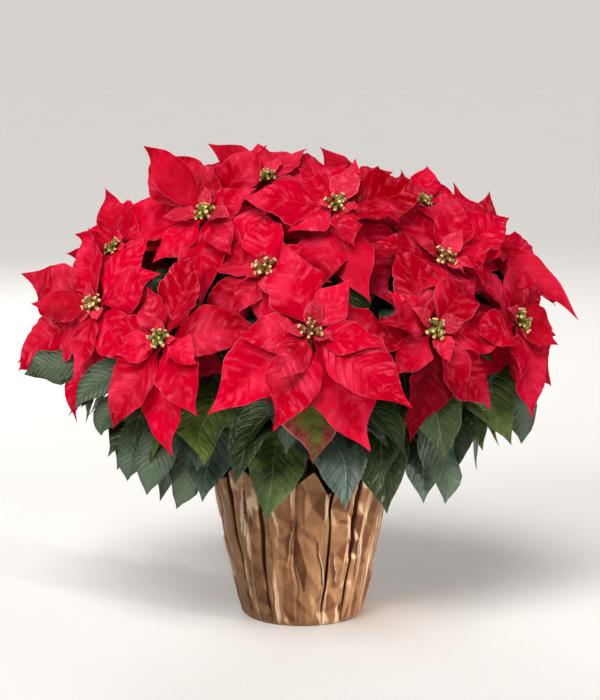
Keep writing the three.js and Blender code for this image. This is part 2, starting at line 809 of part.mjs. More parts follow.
// Leaves on the branches, hanging clear of the bracts and the sleeve.
placed.push(obstacleFrom(sleeve, worldFrame));
for (const bloom of BLOOMS) {
  const outward = Math.atan2(bloom.at[0], -bloom.at[1]) / degToRad(1);
  for (const spec of bloom.leafy ? LEAVES : UPPER_LEAVES) {
    const temper = temperament(random);
    const hang = spec.hang + (random() - 0.5) * LEAF.hangSpread;
    const turn = outward + (random() - 0.5) * LEAF.turnSpread;
    const own = { ...spec, hang, turn, root: bloom.branch.getPoint(spec.along) };
    const bend = (by) => leaf(own, temper, by);
    const blade = placeBlade(bend, worldFrame, placed, bloom.branch, bloom.branchObstacle);
    if (blade) {
      const geometry = geometryFrom(bladePoints(blade), bladeFaces(blade.outline.length));
      stemPieces[bloom.stem].push(geometry);
    } else {
      lost.push(`leaf at ${spec.along} under bloom ${bloom.number}`);
    }
  }
}
for (const [name, pieces] of Object.entries(stemPieces)) {
  poinsettia.add(mesh(`leafy_stem_${name}`, fused(pieces), MATERIALS.leaf));
}
console.log("blades left out:", lost.length, lost.join("; "));

export default poinsettia;
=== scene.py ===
# %% [markdown]
# # A potted poinsettia
# A poinsettia's "flowers" are rosettes of red leaves, called bracts, round a small cluster of real
# flowers. This plant has five stems that fork into twenty-three blooms, with green leaves below them,
# and it stands in a plastic grower's pot inside a sleeve of copper foil.
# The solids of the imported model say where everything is. They come first, and each finer piece below
# is laid over the solid that it stands for.

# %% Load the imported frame
import json
import math

import bpy
import numpy as np
from mathutils import Matrix, Vector
from mathutils.bvhtree import BVHTree
from mathutils.geometry import delaunay_2d_cdt
from mathutils.kdtree import KDTree

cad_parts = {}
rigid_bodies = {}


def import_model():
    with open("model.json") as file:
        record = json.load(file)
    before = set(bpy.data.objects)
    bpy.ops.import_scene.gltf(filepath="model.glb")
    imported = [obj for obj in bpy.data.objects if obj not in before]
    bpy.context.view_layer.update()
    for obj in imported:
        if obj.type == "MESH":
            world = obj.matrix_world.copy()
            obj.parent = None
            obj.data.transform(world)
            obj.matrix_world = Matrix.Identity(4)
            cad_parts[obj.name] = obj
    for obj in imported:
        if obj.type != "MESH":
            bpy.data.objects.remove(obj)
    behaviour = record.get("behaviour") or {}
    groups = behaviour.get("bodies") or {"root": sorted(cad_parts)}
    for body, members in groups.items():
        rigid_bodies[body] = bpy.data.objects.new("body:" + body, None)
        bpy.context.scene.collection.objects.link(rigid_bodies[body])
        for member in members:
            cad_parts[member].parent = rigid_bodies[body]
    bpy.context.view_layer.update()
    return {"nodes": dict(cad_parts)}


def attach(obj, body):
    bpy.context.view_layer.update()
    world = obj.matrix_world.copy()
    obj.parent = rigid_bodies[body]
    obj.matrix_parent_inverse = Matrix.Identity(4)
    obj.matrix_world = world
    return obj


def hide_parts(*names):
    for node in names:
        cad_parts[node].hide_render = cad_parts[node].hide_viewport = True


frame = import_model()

# %% [markdown]
# ## Camera, floor and light
# A long lens from almost two metres away keeps the plant's proportions natural. Large, soft lights
# from the front and above suit a velvety surface: small hard lamps would burn white spots into the red.
# The plain "Standard" view keeps a saturated red saturated, where a film-like view would wash it out.

# %% Camera, floor and light
MM = 0.001
LENS_PIXELS = 1917  # the focal length, in pixels of a picture 700 high
PICTURE_HEIGHT = 700
SENSOR = 36.0
CAMERA_PLACE = (-0.002, -1.8, 0.53)
CAMERA_DIP = 8.7  # degrees below the horizon

scene = bpy.context.scene
scene.view_settings.view_transform = "Standard"

lens = bpy.data.cameras.new("studio_camera")
lens.sensor_width = SENSOR
lens.lens = LENS_PIXELS * SENSOR / PICTURE_HEIGHT
camera = bpy.data.objects.new("studio_camera", lens)
camera.location = CAMERA_PLACE
camera.rotation_euler = (math.radians(90 - CAMERA_DIP), 0, 0)
scene.collection.objects.link(camera)
scene.camera = camera


def soft_light(name, place, aim, size, power, tint):
    """A rectangular studio light at `place` that points at `aim`."""
    lamp = bpy.data.lights.new(name, "AREA")
    lamp.shape, lamp.size, lamp.size_y = "RECTANGLE", size[0], size[1]
    lamp.energy, lamp.color = power, tint
    stand = bpy.data.objects.new(name, lamp)
    stand.location = place
    stand.rotation_euler = (Vector(aim) - Vector(place)).to_track_quat("-Z", "Y").to_euler()
    scene.collection.objects.link(stand)
    return lamp


HEART, POT_FOOT = (0, 0, 0.28), (0, 0, 0.04)  # the middle of the plant and the lower part of the sleeve
WARM, COOL = (1.0, 0.98, 0.95), (0.96, 0.98, 1.0)
soft_light("front_softbox", (-1.4, -2.0, 1.8), HEART, (0.9, 0.9), 31, WARM)
soft_light("right_softbox", (2.0, -1.2, 1.3), HEART, (0.7, 1.0), 5, COOL)
pot_light = soft_light("pot_softbox", (1.8, -1.1, 0.1), POT_FOOT, (0.4, 0.12), 0.68, (0.98, 0.98, 1.0))
pot_light.spread = math.radians(9)  # narrow, so that it reaches little but the sleeve
soft_light("back_softbox", (-0.6, 2.3, 1.7), HEART, (0.9, 0.9), 22, (0.98, 0.99, 1.0))
KEY_POWER, KEY_WIDTH, KEY_AIM = 1.9, 30, (0.16, 0.66, -1.0)  # the width, in degrees, softens its shadows
key = bpy.data.lights.new("key_light", "SUN")
key.energy, key.angle = KEY_POWER, math.radians(KEY_WIDTH)
key_stand = bpy.data.objects.new("key_light", key)
key_stand.rotation_euler = Vector(KEY_AIM).to_track_quat("-Z", "Y").to_euler()
scene.collection.objects.link(key_stand)

# The room is pale at eye level, where the camera sees it, and dimmer above, so that shadows stay deep.
EYE_LEVEL, OVERHEAD = (0.03, 0.67), (0.16, 0.31)  # steepness of the view and brightness there
studio = bpy.data.worlds.new("pale_studio")
studio.use_nodes = True
sky = studio.node_tree
direction = sky.nodes.new("ShaderNodeTexCoord")
slope = sky.nodes.new("ShaderNodeSeparateXYZ")
fade = sky.nodes.new("ShaderNodeMapRange")
for end, (steepness, brightness) in (("Min", EYE_LEVEL), ("Max", OVERHEAD)):
    fade.inputs["From " + end].default_value = steepness
    fade.inputs["To " + end].default_value = brightness
sky.links.new(direction.outputs["Generated"], slope.inputs[0])
sky.links.new(slope.outputs["Z"], fade.inputs["Value"])
sky.links.new(fade.outputs[0], sky.nodes["Background"].inputs["Strength"])
sky.nodes["Background"].inputs["Color"].default_value = (1.0, 0.966, 0.93, 1)
scene.world = studio

REACH = 30.0  # half the floor's width, in metres
floor_mesh = bpy.data.meshes.new("floor")
floor_corners = [(-REACH, -REACH, 0), (REACH, -REACH, 0), (REACH, REACH, 0), (-REACH, REACH, 0)]
floor_mesh.from_pydata(floor_corners, [], [(0, 1, 2, 3)])
floor = bpy.data.objects.new("floor", floor_mesh)
scene.collection.objects.link(floor)
print("lens:", round(lens.lens, 2), "mm")

# %% [markdown]
# ## Writing formulas as nodes
# Blender's node trees are formulas drawn as boxes. To keep a long formula readable, a small class here
# stands for the output of one node, and Python's own signs write the next node: `a * b + c` makes a
# multiply node and an add node. It serves Geometry Nodes and materials alike, because both have the
# same Math and Vector Math nodes.


# %% Terms of a node formula
def add_node(tree, kind, inputs=None, **settings):
    """A new node with its settings and inputs; an input's value is a term or a plain value."""
    made = tree.nodes.new(kind)
    for name, value in settings.items():
        setattr(made, name, value)
    for key, value in (inputs or {}).items():
        if isinstance(value, Term):
            tree.links.new(value.out, made.inputs[key])
        else:
            made.inputs[key].default_value = value
    return made


class Term:
    """One output of a node, which can be added, multiplied and so on to write more nodes."""

    def __init__(self, tree, out):
        self.tree, self.out = tree, out

    @property
    def is_vector(self):
        return self.out.type == "VECTOR"

    def math(self, operation, *others):
        made = add_node(self.tree, "ShaderNodeMath", dict(enumerate((self, *others))), operation=operation)
        return Term(self.tree, made.outputs[0])

    def vector(self, operation, other=None, out=0):
        inputs = {0: self} if other is None else {0: self, 1: other}
        made = add_node(self.tree, "ShaderNodeVectorMath", inputs, operation=operation)
        return Term(self.tree, made.outputs[out])

    def both(self, operation, other):
        other_is_vector = isinstance(other, tuple) or (isinstance(other, Term) and other.is_vector)
        if self.is_vector or other_is_vector:
            return self.vector(operation, other)
        return self.math(operation, other)

    def __add__(self, other):
        return self.both("ADD", other)

    def __sub__(self, other):
        return self.both("SUBTRACT", other)

    def __rsub__(self, other):
        return self * -1 + other

    def __mul__(self, other):
        if not self.is_vector and isinstance(other, Term) and other.is_vector:
            return other * self
        if not self.is_vector or isinstance(other, tuple) or (isinstance(other, Term) and other.is_vector):
            return self.both("MULTIPLY", other)
        made = add_node(self.tree, "ShaderNodeVectorMath", {0: self, "Scale": other}, operation="SCALE")
        return Term(self.tree, made.outputs[0])

    __radd__, __rmul__ = __add__, __mul__

    def __pow__(self, power):
        return self.math("POWER", power)

    def __abs__(self):
        return self.math("ABSOLUTE")

    def sine(self):
        return self.math("SINE")

    def unit(self):
        return self.vector("NORMALIZE")

    def dot(self, other):
        return self.vector("DOT_PRODUCT", other, out=1)

    def cross(self, other):
        return self.vector("CROSS_PRODUCT", other)

    def parts(self):
        made = add_node(self.tree, "ShaderNodeSeparateXYZ", {0: self})
        return [Term(self.tree, out) for out in made.outputs]

    def step(self, start, end):
        """0 below `start`, 1 above `end` and a smooth rise between them."""
        made = add_node(
            self.tree, "ShaderNodeMapRange", {"Value": self, "From Min": start, "From Max": end},
            interpolation_type="SMOOTHSTEP",
        )
        return Term(self.tree, made.outputs[0])

    def curve(self, points):
        """This term, from 0 to 1, looked up on a smooth curve through (place, value) points."""
        top = max(value for _, value in points)
        made = add_node(self.tree, "ShaderNodeFloatCurve", {"Value": self})
        line = made.mapping.curves[0]
        while len(line.points) < len(points):
            line.points.new(0.5, 0.5)
        for knot, (place, value) in zip(line.points, points):
            knot.location = (place, value / top)
            knot.handle_type = "AUTO_CLAMPED"
        made.mapping.update()
        return Term(self.tree, made.outputs[0]) * top


def vector_of(x, y, z):
    """A vector of three terms or numbers, of which at least one is a term."""
    tree = next(part.tree for part in (x, y, z) if isinstance(part, Term))
    return Term(tree, add_node(tree, "ShaderNodeCombineXYZ", {0: x, 1: y, 2: z}).outputs[0])


def blend(low, high, share):
    """`low` where the share is 0 and `high` where it is 1."""
    return low + (high - low) * share


print("node formulas ready")

# %% [markdown]
# ## Running a geometry tree
# A tree's named inputs are set by their identifiers before Blender first evaluates the object. The
# result is then copied out as a plain mesh and the modifier is taken off, so that what is left is an
# ordinary piece. The trees start from a mesh of loose points that carry one value per piece, such as
# where a leaf's tip is, as attributes.


# %% Helpers for geometry trees
def geometry_group(name, **inputs):
    """A geometry tree with named inputs: whole numbers, numbers, or None for a material."""
    tree = bpy.data.node_groups.new(name, "GeometryNodeTree")
    face = tree.interface
    face.new_socket(name="Geometry", in_out="INPUT", socket_type="NodeSocketGeometry")
    for label, value in inputs.items():
        kind = {int: "NodeSocketInt", float: "NodeSocketFloat"}.get(type(value), "NodeSocketMaterial")
        socket = face.new_socket(name=label, in_out="INPUT", socket_type=kind)
        if value is not None:
            socket.default_value = value
    face.new_socket(name="Geometry", in_out="OUTPUT", socket_type="NodeSocketGeometry")
    inlet = tree.nodes.new("NodeGroupInput")
    return tree, {out.name: Term(tree, out) for out in inlet.outputs if out.name}


def chain(geometry, kind, inputs=None, **settings):
    """The geometry after one more node."""
    made = add_node(geometry.tree, kind, {"Geometry": geometry, **(inputs or {})}, **settings)
    return Term(geometry.tree, made.outputs[0])


def attribute(tree, name, kind="FLOAT"):
    """A value that the mesh carries, in a geometry tree."""
    made = add_node(tree, "GeometryNodeInputNamedAttribute", {"Name": name}, data_type=kind)
    return Term(tree, made.outputs[0])


def store(geometry, name, value, kind="FLOAT", domain="POINT"):
    """The geometry with a value kept on it as an attribute."""
    return chain(
        geometry, "GeometryNodeStoreNamedAttribute", {"Name": name, "Value": value},
        data_type=kind, domain=domain,
    )


def here(tree):
    """The place of each point."""
    return Term(tree, add_node(tree, "GeometryNodeInputPosition").outputs[0])


def finished(geometry, material, crease):
    """Ends a tree: smooth shading with sharp edges above `crease` radians, and the material."""
    tree = geometry.tree
    angle = add_node(tree, "GeometryNodeInputMeshEdgeAngle").outputs["Unsigned Angle"]
    sharp = Term(tree, angle).math("GREATER_THAN", crease)
    geometry = chain(geometry, "GeometryNodeSetShadeSmooth", {"Shade Smooth": True})
    geometry = store(geometry, "sharp_edge", sharp, "BOOLEAN", "EDGE")
    geometry = chain(geometry, "GeometryNodeSetMaterial", {"Material": material})
    outlet = tree.nodes.new("NodeGroupOutput")
    tree.links.new(geometry.out, outlet.inputs[0])


def seed_mesh(name, rows, edges=()):
    """A mesh of loose points, or of lines, whose rows give "co" and the values that each carries."""
    mesh = bpy.data.meshes.new(name)
    mesh.from_pydata([tuple(row["co"]) for row in rows], list(edges), [])
    for key, first in rows[0].items():
        if key == "co":
            continue
        wide = np.ndim(first) == 1
        layer = mesh.attributes.new(key, "FLOAT_VECTOR" if wide else "FLOAT", "POINT")
        values = np.array([row[key] for row in rows], np.float32).ravel()
        layer.data.foreach_set("vector" if wide else "value", values)
    return mesh


def grown(name, mesh, tree, **inputs):
    """The plain mesh object that a tree makes of a seed mesh."""
    piece = bpy.data.objects.new(name, mesh)
    scene.collection.objects.link(piece)
    modifier = piece.modifiers.new(tree.name, "NODES")
    modifier.node_group = tree
    sockets = {s.name: s.identifier for s in tree.interface.items_tree if s.in_out == "INPUT"}
    for label, value in inputs.items():
        modifier[sockets[label]] = value
    graph = bpy.context.evaluated_depsgraph_get()
    outcome = bpy.data.meshes.new_from_object(
        piece.evaluated_get(graph), preserve_all_data_layers=True, depsgraph=graph
    )
    piece.modifiers.clear()
    piece.data = outcome
    bpy.data.meshes.remove(mesh)
    outcome.name = name
    return piece


def mesh_piece(name, points, faces, material, values=None):
    """A piece made directly from points and faces, smooth, with values per point as attributes."""
    mesh = bpy.data.meshes.new(name)
    mesh.from_pydata([tuple(p) for p in points], [], faces)
    mesh.polygons.foreach_set("use_smooth", [True] * len(mesh.polygons))
    for key, numbers in (values or {}).items():
        mesh.attributes.new(key, "FLOAT", "POINT").data.foreach_set("value", np.asarray(numbers, np.float32))
    mesh.materials.append(material)
    piece = bpy.data.objects.new(name, mesh)
    scene.collection.objects.link(piece)
    return piece


TRIANGLES = {}  # how many each finished piece has


def belongs(piece, slot, *nodes):
    """Finishes a piece: it rides on the one body, hides the CAD nodes that it stands for, and its triangles
    are counted.
    """
    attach(piece, "root")
    if nodes:
        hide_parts(*nodes)
    TRIANGLES[piece.name] = sum(len(face.vertices) - 2 for face in piece.data.polygons)


print("geometry helpers ready")

# %% [markdown]
# ## The plan of the plant
# The blooms, their bracts and the leaves follow the same table and the same seeded draws as the solids.
# Angles are in degrees: `turn` goes round from the front, `rise` is above the horizon, and a bract's
# clock angle starts at the top of its bloom. Lengths are in millimetres until a mesh is made.

# %% The plan of the plant
STEMS = {"front": 0, "right": 72, "back_right": 144, "back_left": -144, "left": -72}
# Each bloom: stem, place of its flower cluster, turn, rise, leafy or not, and its bracts as
# (clock, length, raise), or else (size, spin) of a regular star.
BLOOMS = [
    ("front", (7, -184, 300), 3, 36, True,
     [(148, 114), (130, 112), (-124, 112), (82, 98), (-14, 90), (204, 92), (179, 118, -16), (-96, 64),
      (40, 58), (108, 64), (-146, 60)]),
    ("left", (-125, -138, 286), -30, 27, True,
     [(178, 104), (-146, 96), (10, 86), (74, 92), (140, 80), (-76, 58), (112, 52), (-28, 50),
      (-112, 52)]),
    ("right", (117, -134, 294), 27, 32, True,
     [(134, 100), (-2, 92), (94, 90), (48, 84), (191, 100, -12), (-128, 60), (-78, 56), (165, 64),
      (-40, 52)]),
    ("left", (-89, -62, 391), -24, 42, False,
     [(-49, 108, 20), (24, 90, 10), (-96, 96), (172, 88), (98, 76), (-140, 64), (136, 56), (0, 48),
      (60, 52)]),
    ("front", (31, -80, 400), 5, 45, False,
     [(-164, 92), (142, 102), (70, 100, 4), (-84, 92, 6), (20, 56), (-124, 54), (164, 50), (112, 60),
      (-30, 62)]),
    ("front", (-33, -132, 347), -18, 40, False,
     [(-122, 92), (-60, 76), (-14, 70), (168, 60), (96, 60), (-150, 50), (52, 44)]),
    ("left", (-190, -72, 308), -40, 26, True,
     [(-162, 114), (-119, 130, 12), (-80, 114, 8), (-34, 92), (18, 84), (66, 80), (130, 84), (180, 66),
      (-100, 58)]),
    ("right", (129, -70, 351), 34, 40, False,
     [(70, 100), (-8, 88), (122, 92), (-72, 72), (170, 62), (35, 72), (-130, 56), (95, 56)]),
    ("right", (200, -72, 292), 52, 24, True,
     [(84, 104), (132, 92), (176, 90), (30, 84), (-30, 84), (-90, 70), (108, 60), (60, 58), (-150, 60)]),
    ("left", (-178, -10, 352), -50, 48, False,
     [(4, 116, 12), (-50, 104, 8), (-104, 112), (-150, 96), (60, 90), (120, 80), (-20, 60), (90, 56)]),
    ("right", (176, -2, 362), 62, 44, False,
     [(14, 70), (70, 90), (121, 142, 12), (160, 86), (-50, 84), (-110, 76), (96, 60), (40, 56)]),
    ("right", (114, 10, 396), 46, 58, False,
     [(20, 58), (66, 74), (118, 88), (168, 84), (-40, 80), (-98, 78), (44, 54), (95, 54)]),
    ("back_left", (-34, 8, 418), -20, 66, False,
     [(-58, 100, 12), (-10, 88, 8), (46, 84), (104, 84), (172, 80), (-118, 84), (-30, 56), (28, 56)]),
    ("back_right", (50, 62, 402), 140, 74, False, (96, 0)),
    ("right", (46, -8, 408), 40, 78, False, (82, 50)),
    ("left", (-208, 22, 290), -62, 26, True, (104, 22)),
    ("back_right", (4, 186, 298), 179, 30, True, (112, 15)),
    ("back_left", (-124, 142, 290), -139, 28, True, (108, 50)),
    ("back_right", (128, 142, 292), 138, 28, True, (108, 5)),
    ("back_left", (-104, 74, 388), -125, 52, False, (102, 65)),
    ("back_right", (-22, 126, 372), -172, 48, False, (100, 30)),
    ("back_left", (-186, 108, 298), -118, 28, True, (98, 12)),
    ("back_right", (192, 66, 302), 108, 28, True, (104, 44)),
]
STAR_RINGS = [(5, 1, 0), (4, 0.68, 36)]  # number, share of the size, turn
# Leaves on a branch: how far along it, sideways turn, stalk, blade, and how far the blade hangs.
LEAVES = [(0.24, -34, 44, 104, 74), (0.34, 34, 44, 102, 68), (0.46, -62, 42, 100, 52),
          (0.57, 62, 40, 98, 48), (0.68, -16, 34, 94, 46)]
UPPER_LEAVES = [(0.8, -70, 30, 88, 20), (0.86, 70, 28, 86, 20), (0.74, 0, 30, 90, 34)]
STAR_SPREAD, STAR_SIZES = 18, (0.92, 1.06)  # how far a regular star's bracts stray in clock and in size
INNERMOST, INNERMOST_FROM, INNERMOST_SIZES = 3, 25, (27, 37)  # number, clock angle and length
LARGE_FROM, MEDIUM_FROM = 86, 42  # lengths of a bract
# From the lowest bract of a bloom to the highest: height on the receptacle, lift and curl.
BRACT_HEIGHTS, BRACT_LIFTS, BRACT_CURLS = (1.5, 8), (-6, 28), (28, 12)
UPHILL_LIFT = 8  # degrees more on a bloom's upper side, and less on its lower side
BRACT_WIDTH, SMALL_BRACT_WIDTH, LEAF_WIDTH = 0.255, 0.3, 0.28  # half width as a share of the length
HUB_HEIGHT, HUB_RING = 12, 2.4  # the receptacle's height, and how far from its axis a bract starts
STEM_FOOT, STEM_FORK = (26, 85), (38, 180)  # distance from the pot's axis and height
BRANCH_BEND, BRANCH_GAP = 0.42, 0.3  # where a branch bends, as a share of its reach, and its clearance
LEAF_RISE, LEAF_TWIST = 12, 28  # degrees: of the stalk above the horizon, and of a leaf at the side
BLADE_SPLAY = 0.7  # a blade's sideways turn as a share of its stalk's
HANG_STRAY, TURN_STRAY = 12, 16  # degrees
# What makes each blade a little different: the least and the most of each, in the order of the draws.
TEMPERS = {
    "roll": (-15, 15), "cup": (-0.12, 0.22), "skew": (-0.11, 0.11), "wave": (1.5, 4.5),
    "phase": (0, 2 * math.pi), "full": (0.92, 1.08),
}
# The bends that a blade tries, in this order: share of its length, turn and lift.
BENDS = [
    (scale, turn, lift)
    for scale in (1, 0.92, 0.84, 0.74, 0.62)
    for turn in (0, 8, -8, 16, -16, 25, -25)
    for lift in (0, -6, 6, -12, 12, -19, 19, -27, 27)
]
print(len(BLOOMS), "blooms on", len(STEMS), "stems")

# %% [markdown]
# ## Where each bract and leaf lies
# Every blade has a spine, a quadratic curve over its root, its knee and its tip, and was bent a little
# where a neighbour was in the way. How it was bent isn't in the table, but a blade's tip is a corner of
# its solid. So each blade tries the same bends in the same order until its tip meets a corner there.


# %% Where each bract and leaf lies
def seeded(seed):
    """A repeatable source of numbers from 0 to 1."""
    state = seed
    while True:
        state = (state * 1664525 + 1013904223) % 2**32
        yield state / 2**32


def facing(turn, rise):
    """The direction at a turn from the front and a rise above the horizon, both in degrees."""
    level = math.cos(math.radians(rise))
    t = math.radians(turn)
    return Vector((math.sin(t) * level, -math.cos(t) * level, math.sin(math.radians(rise))))


def between(low, high, share):
    return low + (high - low) * share


def temperament(draw):
    """The small irregularities of one blade."""
    return {name: between(least, most, next(draw)) for name, (least, most) in TEMPERS.items()}


def bract_specs(bloom, draw):
    """A bloom's bracts, the longest and lowest first."""
    _, _, turn, rise, _, bracts = bloom
    if isinstance(bracts, list):
        rows = [(*row, 0)[:3] for row in bracts]
    else:
        rows = []
        size, spin = bracts
        for count, share, offset in STAR_RINGS:
            for i in range(count):
                clock = spin + offset + 360 / count * i + (next(draw) - 0.5) * STAR_SPREAD
                rows.append((clock, size * share * between(*STAR_SIZES, next(draw)), 0))
    for i in range(INNERMOST):
        clock = INNERMOST_FROM + turn + 360 // INNERMOST * i
        rows.append((clock, between(*INNERMOST_SIZES, next(draw)), 0))
    rows.sort(key=lambda row: -row[1])
    specs = []
    for rank, (clock, length, raised) in enumerate(rows):
        inward = rank / (len(rows) - 1)
        uphill = math.cos(math.radians(clock)) * math.cos(math.radians(rise))
        specs.append({
            "clock": clock, "length": length, "inward": inward,
            "height": between(*BRACT_HEIGHTS, inward) - HUB_HEIGHT,
            "lift": between(*BRACT_LIFTS, inward) + UPHILL_LIFT * uphill + raised,
            "curl": between(*BRACT_CURLS, inward),
            "width": BRACT_WIDTH if length >= MEDIUM_FROM else SMALL_BRACT_WIDTH,
        })
    return specs


def bend_bract(spec, temper, bend, stand):
    """The bract's spine and side under one bend, in the plant's frame. `stand` is its bloom's frame."""
    scale, turn, lift = bend
    clock = math.radians(spec["clock"] + turn)
    out = Vector((math.sin(clock), math.cos(clock), 0))
    level = Vector((-math.cos(clock), math.sin(clock), 0))

    def heading(degrees):
        return out * math.cos(math.radians(degrees)) + Vector((0, 0, 1)) * math.sin(math.radians(degrees))

    first = heading(spec["lift"] + lift)
    second = heading(spec["lift"] + lift - spec["curl"])
    root = out * HUB_RING + Vector((0, 0, spec["height"]))
    knee = root + first * (spec["length"] * scale / 2)
    tip = knee + second * (spec["length"] * scale / 2)
    side = Matrix.Rotation(math.radians(temper["roll"]), 3, first) @ level
    half = spec["length"] * scale * spec["width"] * temper["full"]
    return stand @ root, stand @ knee, stand @ tip, stand.to_3x3() @ side, half


def bend_leaf(spec, temper, bend, _):
    """The same for a leaf, which hangs from a stalk on its branch."""
    scale, bent, lift = bend
    turn = spec["turn"] + bent
    knee = spec["root"] + facing(turn + spec["splay"], LEAF_RISE) * spec["stalk"]
    blade_turn = turn + spec["splay"] * BLADE_SPLAY
    hanging = facing(blade_turn, lift - spec["hang"])
    tip = knee + hanging * (spec["length"] * scale)
    level = Vector((0, 0, 1)).cross(facing(blade_turn - LEAF_TWIST * math.sin(math.radians(turn)), 0))
    side = Matrix.Rotation(math.radians(temper["roll"]), 3, hanging) @ level
    return spec["root"], knee, tip, side, spec["length"] * scale * LEAF_WIDTH * temper["full"]


def corners_of(node):
    """The corners of a CAD node, ready to be looked up by place."""
    points = frame["nodes"][node].data.vertices
    tree = KDTree(len(points))
    for i, point in enumerate(points):
        tree.insert(point.co, i)
    tree.balance()
    return tree


def placed(make, spec, temper, stand, corners):
    """The first bend whose tip is a corner of the solid, or None where the plant has no such blade."""
    for bend in BENDS:
        root, knee, tip, side, half = make(spec, temper, bend, stand)
        if corners.find(tip * MM)[2] < 0.05 * MM:
            spine = {"root": root, "knee": knee, "tip": tip}
            return {**spec, **temper, **spine, "side": side.normalized(), "half": half}
    return None


def stem_point(turn, ring, height):
    """A point beside the pot's axis, for a stem's foot or fork."""
    return facing(turn, 0) * ring + Vector((0, 0, height))


stems = {name: {"turn": turn, "branches": [], "leaves": []} for name, turn in STEMS.items()}
blooms = []
draw = seeded(1225)
for number, bloom in enumerate(BLOOMS, 1):
    stem, at, turn, rise, _, _ = bloom
    axis = facing(turn, rise)
    upward = (Vector((0, 0, 1)) - axis * axis.z).normalized()
    turned_to = Matrix((upward.cross(axis), upward, axis)).transposed()
    stand = Matrix.Translation(Vector(at)) @ turned_to.to_4x4()
    corners = corners_of(f"bloom_{number:02d}_bracts")
    bracts = []
    for spec in bract_specs(bloom, draw):
        bracts.append(placed(bend_bract, spec, temperament(draw), stand, corners))
    fork = stem_point(STEMS[stem], *STEM_FORK)
    bend = HUB_HEIGHT + BRANCH_BEND * (fork - Vector(at)).length
    branch = [fork, Vector(at) - axis * bend, Vector(at) - axis * (HUB_HEIGHT + BRANCH_GAP)]
    stems[stem]["branches"].append(branch)
    blooms.append({
        "number": number, "stand": stand, "axis": axis, "turn": turn, "branch": branch,
        "bracts": [bract for bract in bracts if bract],
    })


def on_curve(line, share):
    """A point of the quadratic curve that three points give."""
    start, middle, end = line
    return start * (1 - share) ** 2 + middle * (2 * share * (1 - share)) + end * share**2


leaf_corners = {name: corners_of(f"leafy_stem_{name}") for name in STEMS}
missing_leaves = 0
for bloom, (stem, at, _, _, leafy, _) in zip(blooms, BLOOMS):
    outward = math.degrees(math.atan2(at[0], -at[1]))
    for along, splay, stalk, length, hang in LEAVES if leafy else UPPER_LEAVES:
        temper = temperament(draw)
        spec = {"splay": splay, "stalk": stalk, "length": length}
        spec["hang"] = hang + (next(draw) - 0.5) * HANG_STRAY
        spec["turn"] = outward + (next(draw) - 0.5) * TURN_STRAY
        spec["root"] = on_curve(bloom["branch"], along)
        leaf = placed(bend_leaf, spec, temper, None, leaf_corners[stem])
        missing_leaves += leaf is None
        if leaf:
            stems[stem]["leaves"].append(leaf)
print("bracts:", sum(len(bloom["bracts"]) for bloom in blooms))
print("leaves:", sum(len(stem["leaves"]) for stem in stems.values()), "left out:", missing_leaves)

# %% [markdown]
# ## The blade tree
# A bract and a leaf are one shape with other measures: a round stalk that flattens into a thin blade
# with a pointed tip. A blade could be modelled by hand once and copied, but then all the hundreds
# would look alike. This tree lays a tube on every seed point instead, presses it flat and bends each
# one by its own numbers: along its spine, cupped, waved at the edge, sunk along the midrib and puffed
# up between its side veins. It ends with real geometry, so the relief also shows in the outline.


# %% The blade tree
TEETH_RATE, JAG_RATE, JAG_DEPTH = 9.4, 31, 0.025  # of the edge; rates in radians for each blade length
SWELL_RATE, LATE_SIDE = 2.1, 0.85  # radians for each row of the solid; how late one side's waves are
FRILL_RATE, FRILL_SHARE = 230, 0.45  # radians for each metre; height as a share of the waves'
BUCKLE_SCALE = 45  # of their noise, for each metre
VEIN_SWEEP, VEIN_CURL = 0.16, 0.03  # how far forwards a side vein runs, and how much more at the edge
HOOK_UP, HOOK_ASIDE = 0.09, 0.045  # how far the tip can bend, as shares of the length
BLADE_CREASE = 1.2  # radians


